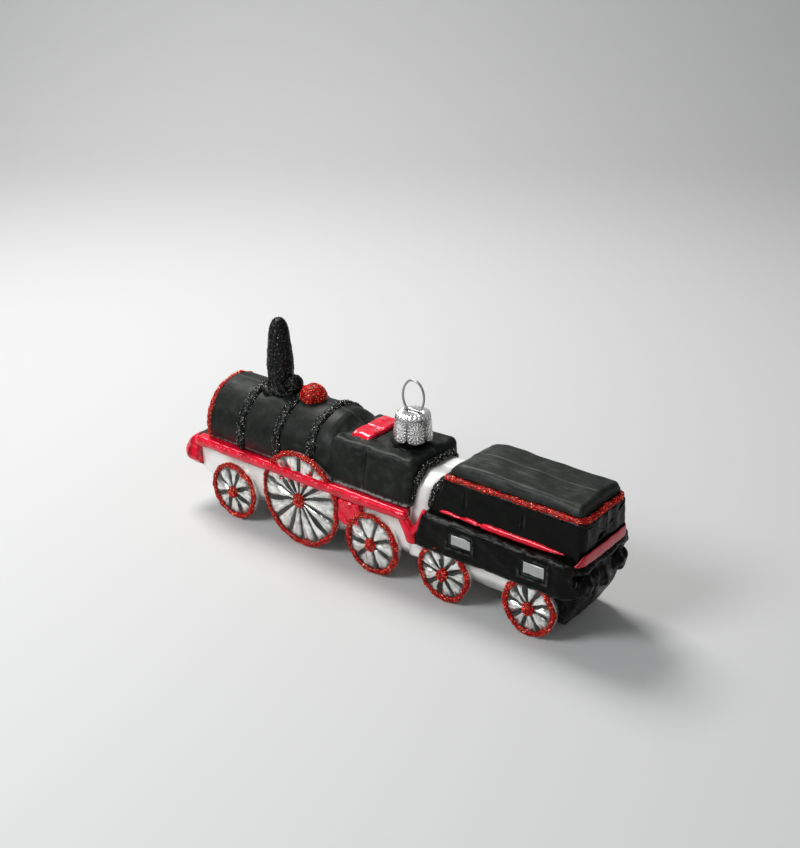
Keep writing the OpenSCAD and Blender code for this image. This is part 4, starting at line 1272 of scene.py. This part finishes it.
def make_sills():
    """Black lower panels of the tender: one wall section carried along a horseshoe plan,
    moved out or in by bells for the window recesses and their borders, and crumpled by
    random fields on the rear."""
    x0, x1 = SILL_LOW[0], SILL_HIGH[0]
    z0, z1 = SILL_LOW[2], SILL_HIGH[2]
    half = 1.4
    y = SILL_HIGH[1] - half
    r = 3.6
    windows = sill_windows()
    marks = [w[0] + s * (w[2] + 0.5) for w in windows for s in (-1, 1)]
    side_x = spread(x0, x1 - half - r, 110, marks, 0.9, 3)
    rear_y = spread(-y + r, y - r, 90, [0], 0.6, 4)[1:]
    plan, outward = horseshoe(side_x, rear_y, x1 - half, y, r, 26)
    wall = even(fillet([(-2.4, z0 + 1, 0.4), (-0.8, z0 - 0.1, 0.5), (half, z0 + 0.1, 0.9),
                        (half, z1 - 0.4, 1.0), (-0.2, z1 + 0.15, 1.5),
                        (-2.4, z1 + 0.3, 0.3)]), 70)
    grid = np.concatenate([
        plan[:, None] + outward[:, None, :2] * wall[None, :, :1],
        np.broadcast_to(wall[None, :, 1:], (len(plan), len(wall), 1))], -1)
    share = (grid[..., 2] - z0) / (z1 - z0)
    grid[..., 0] += 3.0 * share * smooth(x0 + 16, x0, grid[..., 0])
    ends = np.concatenate([grid[:1] * 0 + grid[0].mean(0), grid,
                           grid[:1] * 0 + grid[-1].mean(0)])

    def modelling(p):
        x, y_, z = p[..., 0], np.abs(p[..., 1]), p[..., 2]
        outer = smooth(SILL_HIGH[1] - 1.0, SILL_HIGH[1] - 0.2, y_)
        side = outer * smooth(x1 - 3.6, x1 - 5, x)
        h = 0.10 * wobble(p, 6, 191) + 0.04 * wobble(p, 2.2, 192)
        for window in windows:
            d = frame_distance(p, window, 0.0)
            h = h - side * 0.55 * smooth(0.25, -0.15, d)
            ring = frame_distance(p, window, 1.0)
            right = smooth(-0.5, 0.8, x - window[0]) + smooth(-0.2, -1.2, z - window[1])
            h = h + side * 0.34 * bump(ring, 0.15, 0.42) * np.clip(right, 0, 1)
            h = h - side * 0.16 * bump(ring, 1.1, 0.4) * np.clip(right, 0, 1)
        back = smooth(x1 - 2.6, x1 - 0.9, x)
        shelf = 0.7 * bump(z, 23.4, 1.0) - 0.5 * bump(z, 21.0, 1.1)
        crumple = 0.22 * wobble(p, 4.5, 193) + 0.10 * np.abs(wobble(p, 2.2, 194))
        rib = 0.9 * bump(y_, 0, 1.9) * smooth(z1 - 1, z0 + 4, z)
        return h + back * (shelf + crumple + rib) + seam(p) * back

    grid = relief(ends, modelling)
    grid[0], grid[-1] = grid[0].mean(0), grid[-1].mean(0)
    piece("sill_skin", [skin(grid, wear=convex_wear_and_highlight(grid))], TENDER_BLACK,
          ["tender_sills"])


def make_windows():
    """Silver window panes: thin uneven slabs sunk in the sills' recesses."""
    parts = []
    face, depth = SILL_HIGH[1] + 0.02, 0.8
    for cx, cz, hx, hz in sill_windows():
        outline = even(fillet([(-face, cz - hz, 0.12), (depth - face, cz - hz, 0.1),
                               (depth - face, cz + hz, 0.1), (-face, cz + hz, 0.12)]), 36)
        pane = block(outline, np.linspace(cx - hx, cx + hx, 22), 0.12, 0.12)
        pane = relief(pane, lambda p: 0.03 * wobble(p, 2.5, 201) - 0.05)
        pane[..., 1] += 0.22
        parts += both_sides(skin(pane))
    piece("window_panes", parts, WINDOW_SILVER, ["tender_windows"])


def make_tank():
    """Upper tank: sides that lean in, a front that leans forward towards its foot, faint
    upright grooves, a soft shoulder under the roof and ribs across the back."""
    top = span("tender_bead")[0][2]
    half, foot = 10.9, SIDE_Y - 0.3
    outline = section([(foot, TANK_LOW[2] - 0.8, 0.4), (foot, TANK_LOW[2] + 1.6, 1.5),
                       (half, top + 0.2, 1.4), (half - 2.2, top + 1.3, 0.5)], 150)
    grooves = [TANK_LOW[0] + 9.0, TANK_LOW[0] + 27.5]
    xs = spread(TANK_LOW[0] - 0.2, TANK_HIGH[0], 105, grooves, 1.5, 1.5)
    tank = block(outline, xs, 2.0, 2.3, rings=9, arc=9)
    fall = np.clip((top - tank[..., 2]) / (top - TANK_LOW[2]), 0, 1)
    ahead = smooth(TANK_LOW[0] + 12, TANK_LOW[0], tank[..., 0])
    tank[..., 0] += ahead * (1.6 - 4.8 * fall ** 0.8)

    def modelling(p):
        x, y, z = p[..., 0], np.abs(p[..., 1]), p[..., 2]
        side = smooth(half - 1.0, half - 0.4, y) * smooth(TANK_LOW[2] + 4, TANK_LOW[2] + 5, z)
        groove = sum(0.28 * bump(x, g, 0.5) for g in grooves) * side \
            * smooth(top - 0.6, top - 2.4, z)
        shoulder = 0.20 * bump(z, top - 0.9, 0.9) * smooth(half - 1.2, half - 0.5, y)
        back = smooth(TANK_HIGH[0] - 1.2, TANK_HIGH[0] - 0.3, x)
        ribs = 0.12 * np.cos(p[..., 1] * TAU / 5.2) * back * smooth(28, 30, z)
        return 0.09 * wobble(p, 8, 211) + 0.03 * wobble(p, 3, 212) - groove + shoulder \
            + ribs + seam(p)

    tank = relief(tank, modelling)
    piece("tank_skin", [skin(tank, wear=convex_wear_and_highlight(tank))], TENDER_BLACK,
          ["tender_tank"])


def make_roof():
    """Tender roof: a lid with a slightly arched top that rises towards the front, then
    slopes down there by a smooth step, with streaks drawn out along it."""
    low, high = span("tender_roof")
    w, crest = high[1], high[2] + 0.75
    outline = section([(w - 0.8, low[2] - 0.5, 0.4), (w, low[2] + 0.9, 0.8),
                       (w - 1.2, crest - 0.45, 1.7), (0, crest, 30)], 150, 5)
    roof = block(outline, np.linspace(low[0] - 0.4, high[0] - 0.1, 90), 1.5, 1.1, rings=6)
    share = np.clip((roof[..., 2] - low[2]) / (crest - low[2]), 0, 1)
    drop = smooth(low[0] + 5.5, low[0] - 1.0, roof[..., 0])
    rise = smooth(high[0], low[0] + 6, roof[..., 0])
    roof[..., 2] += share * (0.9 * rise - 0.5 * drop)
    roof[..., 0] += 3.6 * share ** 1.5 * smooth(low[0] + 12, low[0], roof[..., 0])
    roof[..., 1] *= 1 - 0.05 * drop
    roof[..., 0] -= 0.8 * share * smooth(high[0] - 4, high[0], roof[..., 0])

    def planks(p):
        flat = smooth(crest - 1.6, crest - 0.7, p[..., 2])
        streak = 0.025 * wobble(p * [0.25, 1, 1], 1.2, 221) \
            + 0.06 * wobble(p * [0.4, 1, 1], 3.5, 222)
        return flat * streak + 0.08 * wobble(p, 8, 223) + seam(p, 0.15, 0.18)

    roof = relief(roof, planks)
    piece("tender_roof_skin", [skin(roof, wear=convex_wear_and_highlight(roof) * 0.3)], ROOF_BLACK,
          ["tender_roof"])


def make_tender_line():
    """Red glitter line under the roof's edge, along a horseshoe plan."""
    low, high = span("tender_bead")
    z, rear_x = (low[2] + high[2]) / 2, high[0] - 0.3
    r, y = 2.2, high[1] - 0.35
    side_x = np.linspace(low[0] + 0.6, rear_x - r, 100)
    rear_y = np.linspace(-y + r, y - r, 60)[1:]
    plan, out = horseshoe(side_x, rear_y, rear_x, y, r, 16)
    path = np.concatenate([plan, np.full((len(plan), 1), z)], 1)
    parts = glue_line(path, out, np.broadcast_to(UP, out.shape), 1.35, 0.85, 231, 13, 0.15)
    piece("tender_bead_glitter", parts, RED_GLITTER, ["tender_bead"])


def make_side_stripes():
    """Red mouldings on the tender's sides: half-round beads whose width swells, wavers,
    is nicked once and tapers to the rear."""
    low, high = span("side_stripes")
    x = np.linspace(low[0] + 0.4, high[0] + 0.6, 130)
    t = (x - x[0]) / (x[-1] - x[0])
    z = (low[2] + high[2]) / 2 + 0.12 * np.sin(x * 0.9) * smooth(0.55, 0.2, t)
    path = np.stack([x, np.full_like(x, -SIDE_Y + 0.25), z], 1)
    width = 1.75 * (0.55 + 0.5 * smooth(0.1, 0.5, t)) * np.sqrt(np.clip(1 - t ** 9, 0, 1))
    width = width * (1 + 0.16 * wobble(path, 3.4, 241) * smooth(0.6, 0.2, t))
    width = width * (1 - 0.55 * bump(t, 0.335, 0.012)) * smooth(-0.02, 0.03, t)
    width = width * (1 - 0.45 * smooth(0.80, 1.0, t)) + 0.05
    depth = 0.75 * np.clip(width / 1.4, 0.1, 1)
    out = np.broadcast_to(unit(np.array([0, -1.0, 0.25])), path.shape)
    side = np.broadcast_to(unit(np.array([0, 0.25, 1.0])), path.shape)
    grid = bead(path, out, side, width, depth, 14)
    piece("side_stripe_lacquer", both_sides(skin(grid, wear=convex_wear_and_highlight(grid))), RED,
          ["side_stripes"])


def make_rear_stripe():
    """Painted band across the tender's back: a very flat bead that wraps both corners and
    narrows at its ends."""
    low, high = span("rear_stripe")
    back = high[0] + 0.05
    line = curve([(back - 1.6, -13.7), (back - 0.9, -13.0), (back - 0.25, -11.4),
                  (back - 0.1, -9), (back, 0), (back - 0.2, 8.5), (back - 0.6, 10.2),
                  (back - 1.5, 11.2)], 130)
    out = sideways(line)
    t = np.linspace(0, 1, 130)
    z = (low[2] + high[2]) / 2 + 0.4 - 0.9 * smooth(0.10, 0.0, t)
    path = np.stack([line[:, 0], line[:, 1], z], 1)
    width = 3.3 * smooth(-0.02, 0.13, t) ** 0.8 * smooth(1.02, 0.985, t) + 0.1
    width = width * (1 + 0.05 * wobble(path, 4, 251))
    grid = bead(path, out, np.broadcast_to(UP, out.shape), width, 0.28, 18)
    grid = relief(grid, lambda p: 0.5 * seam(p))
    # The whole band is darkened evenly by painted shade.
    piece("rear_stripe_lacquer", [skin(grid, wear=convex_wear_and_highlight(grid) * 0.5, shade=0.36)], RED,
          ["rear_stripe"])


TAIL_LOW, TAIL_HIGH = span("tender_tail")


def make_tender_frame():
    """Silver underframe of the tender: a keeled section carried back to the tail."""
    low, _ = span("tender_chassis")
    keel = low[2]
    outline = section([(8.8, keel, 2.4), (SIDE_Y, keel + 4.4, 3.0),
                       (SIDE_Y, TANK_LOW[2] - 1.2, 0.3)], 140)
    under = block(outline, np.linspace(low[0] - 0.4, TAIL_LOW[0] + 0.6, 60), 0.3, 0.3)
    under = relief(under, lambda p: 0.10 * wobble(p, 9, 261) + 0.03 * wobble(p, 4, 262)
                   + seam(p))
    # Painted shade: darker towards the bottom.
    shade = 0.55 * smooth(15, 5, under[..., 2])
    piece("tender_chassis_glass", [skin(under, shade=shade)], SILVER,
          ["tender_chassis"])


def make_tail():
    """Rounded black tail under the tender's rear: its back leans forward towards the floor
    by a power of the depth."""
    floor, top = TAIL_LOW[2], SILL_LOW[2] + 1.5
    half = TAIL_HIGH[1] + 1.6
    outline = section([(half - 2.2, floor, 2.6), (half, floor + 5.5, 3.6), (half, top, 0.4)],
                      150, 5)
    tail = block(outline, np.linspace(TAIL_LOW[0] - 0.9, SILL_HIGH[0] - 1.0, 54), 0.8, 1.8,
                 rings=8, arc=10)
    share = np.clip((top - tail[..., 2]) / (top - floor), 0, 1)
    tail[..., 0] -= 4.4 * share ** 1.3 * smooth(TAIL_LOW[0] + 2, SILL_HIGH[0], tail[..., 0])
    tail = relief(tail, lambda p: 0.12 * wobble(p, 5, 271) + 0.04 * wobble(p, 2, 272)
                  + seam(p, 0.14, 0.18))
    piece("tail_skin", [skin(tail, wear=convex_wear_and_highlight(tail) * 0.6)], TENDER_BLACK,
          ["tender_tail"])


def make_buffers():
    """Two lumps set into the tail's upper corners: uneven balls."""
    low, high = span("rear_buffers")
    centre = np.array([high[0] - 3.9, -8.9, (low[2] + high[2]) / 2 - 1.4])
    grid = lump(centre, (3.1, 4.4, 3.3), 281, 0.16, 60, 36)
    grid = relief(grid, lambda p: 0.07 * wobble(p, 2.4, 282))
    piece("rear_buffer_skin", both_sides(skin(grid, wear=convex_wear_and_highlight(grid) * 0.6)), TENDER_BLACK,
          ["rear_buffers"])


# ---------------------------------------------------------------- cap and loop
PETALS = 6
SLIT = 0.20          # gap between petals
CAP_R = 5.05         # radius at the shoulder
SKIRT = 0.55         # how much wider the petals' ends stand
TIN = 0.24           # thickness of the tin
SHOULDER = CAP_TOP - 0.95
DOME_BEND = 1.5      # radius of the dome's rounded edge
FULL = 0.52          # where along a petal its pattern is centred
ROUND = 0.76         # where along a petal its end starts to round off


def embossing(across, down):
    """Pressed pattern of a petal, both coordinates from -1 to 1: ten narrow leaves that
    radiate from a boss, inside a border of pearls."""
    rho = np.hypot(across, down)
    phi = np.arctan2(down, across)
    leaves = np.abs(np.cos(phi * 5)) ** 0.7 * smooth(0.12, 0.3, rho) * smooth(0.80, 0.66, rho)
    boss = bump(rho, 0, 0.12)
    pearls = (0.5 + 0.5 * np.cos(phi * 18)) * bump(rho, 0.88, 0.09)
    return 0.30 * leaves + 0.32 * boss + 0.30 * pearls


def cap_side(angle, z, lift):
    """Points on the cap's side: the radius grows by a power of the drop to the flared end."""
    drop = np.clip((SHOULDER - z) / (SHOULDER - CAP_LOW[2]), 0, 1)
    radius = CAP_R + SKIRT * drop ** 2.2 + lift
    return np.stack([NECK_X + radius * np.cos(angle), radius * np.sin(angle), z], -1)


def cap_petals():
    """Six petals with round ends, joined above and parted by slits below. Each is a strip
    of the cap's side, pressed outwards by its pattern and by grain, with an inner wall."""
    across, down = 40, 38
    parts = []
    half_turn = TAU / PETALS / 2
    full = half_turn - SLIT / 2 / CAP_R
    u = np.linspace(-1, 1, across)
    v = np.linspace(0, 1, down)[:, None]
    end = np.clip((v - ROUND) / (1 - ROUND), 0, 1) ** 2.6
    end = np.sqrt(np.clip(1 - end, 0, 1)) * 0.93 + 0.07
    open_slit = smooth(0.12, 0.16, v)
    width = (half_turn * (1 - open_slit) + full * open_slit) * end
    beside, along = u * width / full, (v - FULL) / (1 - FULL)
    press = embossing(beside * 1.04, along * 1.04)
    outside = smooth(0.92, 1.05, np.hypot(beside, along))
    grain = (0.5 + 0.5 * np.cos(u * width * 34)) * (0.5 + 0.5 * np.cos(v * 62))
    press = press + 0.20 * grain * outside * smooth(0, 0.02, v)
    z = np.broadcast_to(SHOULDER - v * (SHOULDER - CAP_LOW[2]), (down, across))
    for k in range(PETALS):
        angle = (k + 0.30) * TAU / PETALS + u * width
        outer, inner = cap_side(angle, z, press), cap_side(angle, z, 0 * press - TIN)
        grid = np.concatenate([outer, inner[:, ::-1]], 1)
        hollow = np.concatenate([0.85 - press * 5, 0 * press], 1)
        ends = [np.broadcast_to(row.mean(0), (1,) + row.shape) for row in (grid[0], grid[-1])]
        grid = np.concatenate([ends[0], grid, ends[1]])
        hollow = np.concatenate([hollow[:1], hollow, hollow[-1:]])
        parts.append(skin(grid, hollow=np.clip(hollow, 0, 1)))
    return parts


def cap_dome():
    """Top of the cap in polar coordinates: a disc with a rounded edge, pressed up by a
    border of pearls and a ring of rays, and sunk by a slot for the wire, with an inner
    wall."""
    a = np.linspace(0, TAU, 144, endpoint=False)
    edge = np.linspace(0.08, math.pi / 2, 18)
    flat = CAP_R - DOME_BEND
    rr = np.concatenate([[0.0], np.linspace(0.25, flat, 20), flat + DOME_BEND * np.sin(edge)])
    zz = np.concatenate([np.full(21, CAP_TOP), CAP_TOP - 1.05 * (1 - np.cos(edge))])
    zz = zz - 0.15 * (rr / CAP_R) ** 2
    radius, angle = np.broadcast_arrays(rr[:, None], a[None])
    pearls = (0.5 + 0.5 * np.cos(angle * 24)) * bump(radius, CAP_R - 0.25, 0.28)
    spray = np.abs(np.cos(angle * 9)) ** 0.7 * bump(radius, CAP_R - 1.9, 1.0)
    slot_x, slot_y = radius * np.cos(angle), radius * np.sin(angle)
    pinch = smooth(3.1, 2.4, np.abs(slot_x)) * smooth(0.95, 0.5, np.abs(slot_y))
    swell = 0.32 * pearls + 0.24 * spray
    height = zz[:, None] + swell * 0.8 - 0.6 * pinch
    outer = np.stack([NECK_X + slot_x * (1 + swell * 0.05), slot_y * (1 + swell * 0.05),
                      height], -1)
    shrink = 1 - TIN / CAP_R * 0.9
    inner = (outer - [NECK_X, 0, 0]) * [shrink, shrink, 1] + [NECK_X, 0, -TIN]
    grid = np.concatenate([outer, inner[::-1]])
    hollow = np.concatenate([np.clip(0.6 - swell * 4 + pinch * 2, 0, 1), 0 * pinch])
    return skin(grid, hollow=hollow)


def make_cap():
    """Pressed tin cap: the petals and the dome as one piece, which turns with the cap."""
    piece("cap_shell", cap_petals() + [cap_dome()], CAP_TIN, ["cap"],
          body="cap")


WIRE_R = 0.34         # the loop's wire
LOOP_TALL = 5.0       # half the height of its oval
LOOP_SHIFT = 0.3      # how far its top is bent back
LOOP_ENTRY = 2.2      # where its legs enter the cap, from the middle


def make_loop():
    """Hanging loop: a tube along a slightly bent oval, whose ends pass down through the cap
    and spread inside the neck."""
    low, high = span("hanger_wire")
    half = (high[0] - low[0]) / 2 - 0.35
    centre = high[2] - 0.35 - LOOP_TALL
    stop = math.pi - math.asin((LOOP_ENTRY - LOOP_SHIFT * 0.5) / half)
    t = np.linspace(-stop, stop, 130)
    hang = 0.5 + 0.5 * np.cos(t)
    oval = np.stack([NECK_X + half * np.sin(t) + LOOP_SHIFT * hang,
                     0.12 * np.sin(t * 1.3 + 0.5), centre + LOOP_TALL * np.cos(t)], 1)
    end = NECK_HIGH[2] - 0.6
    leg_x = (high[0] - low[0]) / 2 - 1.15

    def leg(side):
        """Straight run down through the cap, then an outward spring."""
        return curve([(NECK_X + side * (LOOP_ENTRY + 0.02), 0, oval[0, 2] - 0.35),
                      (NECK_X + side * LOOP_ENTRY, 0, end),
                      (NECK_X + side * (LOOP_ENTRY + 0.3), 0, end - 2.5),
                      (NECK_X + side * leg_x, 0, low[2] + 0.4)], 26)

    path = np.vstack([leg(-1)[::-1], oval, leg(1)])
    wire = tube(path, np.full(len(path), WIRE_R), 14)
    piece("loop_wire", [skin(wire, hollow=0.0)], WIRE_TIN, ["hanger_wire"],
          body="hanger")


# ---------------------------------------------------------------- stage, light, camera
def make_stage():
    """Pale seamless cloth: a floor profile that curves up into a backdrop, carried across
    the camera's view."""
    back_y, side_x = 620, 1500
    profile = curve([(-900, 0), (-300, 0), (200, 0), (back_y - 180, 0), (back_y - 70, 22),
                     (back_y, 110), (back_y + 20, 300), (back_y + 20, 1100)], 80)
    x = np.linspace(-side_x, side_x, 40)
    turn = math.radians(CAMERA_AZIMUTH)
    px, py = np.meshgrid(x, profile[:, 0])
    wx = px * math.cos(turn) - py * math.sin(turn)
    wy = px * math.sin(turn) + py * math.cos(turn)
    grid = np.stack([wx, wy, np.broadcast_to(profile[:, 1:], wx.shape) - 0.05], -1)
    index = np.arange(grid.shape[0] * grid.shape[1]).reshape(grid.shape[:2])
    quads = np.stack([index[:-1, :-1], index[:-1, 1:], index[1:, 1:], index[1:, :-1]], -1)
    mesh = bpy.data.meshes.new("floor")
    mesh.from_pydata((grid.reshape(-1, 3) * MM).tolist(), [], quads.reshape(-1, 4).tolist())
    mesh.polygons.foreach_set("use_smooth", [True] * len(mesh.polygons))
    floor = bpy.data.objects.new("floor", mesh)
    bpy.context.scene.collection.objects.link(floor)
    g = Graph("pale cloth")
    weave = g.noise(0.9, 3, 0.6)
    mesh.materials.append(g.surface(Base_Color=(0.525, 0.53, 0.53), Roughness=0.9,
                                    Normal=g.relief(weave, 0.05, 0.3)))


CAMERA_AZIMUTH = 38.524       # degrees round from -Y towards +X
CAMERA_ELEVATION = 24.299
CAMERA_ROLL = -0.452
CAMERA_DISTANCE = 364.19
CAMERA_TARGET = np.array([3.75, 0, 42.38])
LENS = 54.11
SENSOR = 36


def make_camera():
    """Camera on a sphere round its target, turned by azimuth, elevation and roll."""
    a, e, r = (math.radians(d) for d in (CAMERA_AZIMUTH, CAMERA_ELEVATION, CAMERA_ROLL))
    back = Vector((math.sin(a) * math.cos(e), -math.cos(a) * math.cos(e), math.sin(e)))
    right = Vector((math.cos(a), math.sin(a), 0))
    up = back.cross(right)
    turned = right * math.cos(r) + up * math.sin(r)
    matrix = Matrix((turned, back.cross(turned), back)).transposed().to_4x4()
    matrix.translation = (Vector(CAMERA_TARGET) + back * CAMERA_DISTANCE) * MM
    data = bpy.data.cameras.new("camera")
    data.lens, data.sensor_width, data.sensor_fit = LENS, SENSOR, "AUTO"
    data.clip_start, data.clip_end = 0.01, 20
    camera = bpy.data.objects.new("camera", data)
    camera.matrix_world = matrix
    bpy.context.scene.collection.objects.link(camera)
    bpy.context.scene.camera = camera


LIT_POINT = (0, 0, 20)
ROOM_COLOUR = (0.95, 0.965, 0.975, 1)
ROOM_STRENGTH = 0.22


def lamp(name, place, size, power, colour=(1, 1, 1)):
    """Soft square light aimed at the object; places in millimetres."""
    data = bpy.data.lights.new(name, "AREA")
    data.shape, data.size, data.energy, data.color = "SQUARE", size * MM, power, colour
    made = bpy.data.objects.new(name, data)
    aim = Vector(LIT_POINT) - Vector(place)
    made.rotation_euler = aim.to_track_quat("-Z", "Y").to_euler()
    made.location = Vector(place) * MM
    bpy.context.scene.collection.objects.link(made)


def make_lights():
    """Large soft key from above on the front's far side, weak fills from both near sides
    and a dim pale room."""
    lamp("key", (-330, 130, 520), 240, 3.8, (1.0, 0.99, 0.975))
    lamp("fill", (-180, -430, 430), 230, 2.5, (0.98, 0.99, 1.0))
    lamp("side", (420, -380, 400), 320, 0.35)
    world = bpy.data.worlds.new("room")
    world.use_nodes = True
    background = world.node_tree.nodes["Background"]
    background.inputs["Color"].default_value = ROOM_COLOUR
    background.inputs["Strength"].default_value = ROOM_STRENGTH
    scene = bpy.context.scene
    scene.world = world
    scene.view_settings.view_transform = "Standard"


make_camera()
make_lights()
make_stage()
make_barrel()
make_crown()
make_bands()
make_ring()
make_chimney()
make_domes()
make_door()
make_beam()
make_deck()
make_cab()
make_hatch()
make_neck()
make_chassis()
make_rails()
make_guards()
make_wheels()
make_waist()
make_waist_lines()
make_sills()
make_windows()
make_tank()
make_roof()
make_tender_line()
make_side_stripes()
make_rear_stripe()
make_tender_frame()
make_tail()
make_buffers()
make_cap()
make_loop()
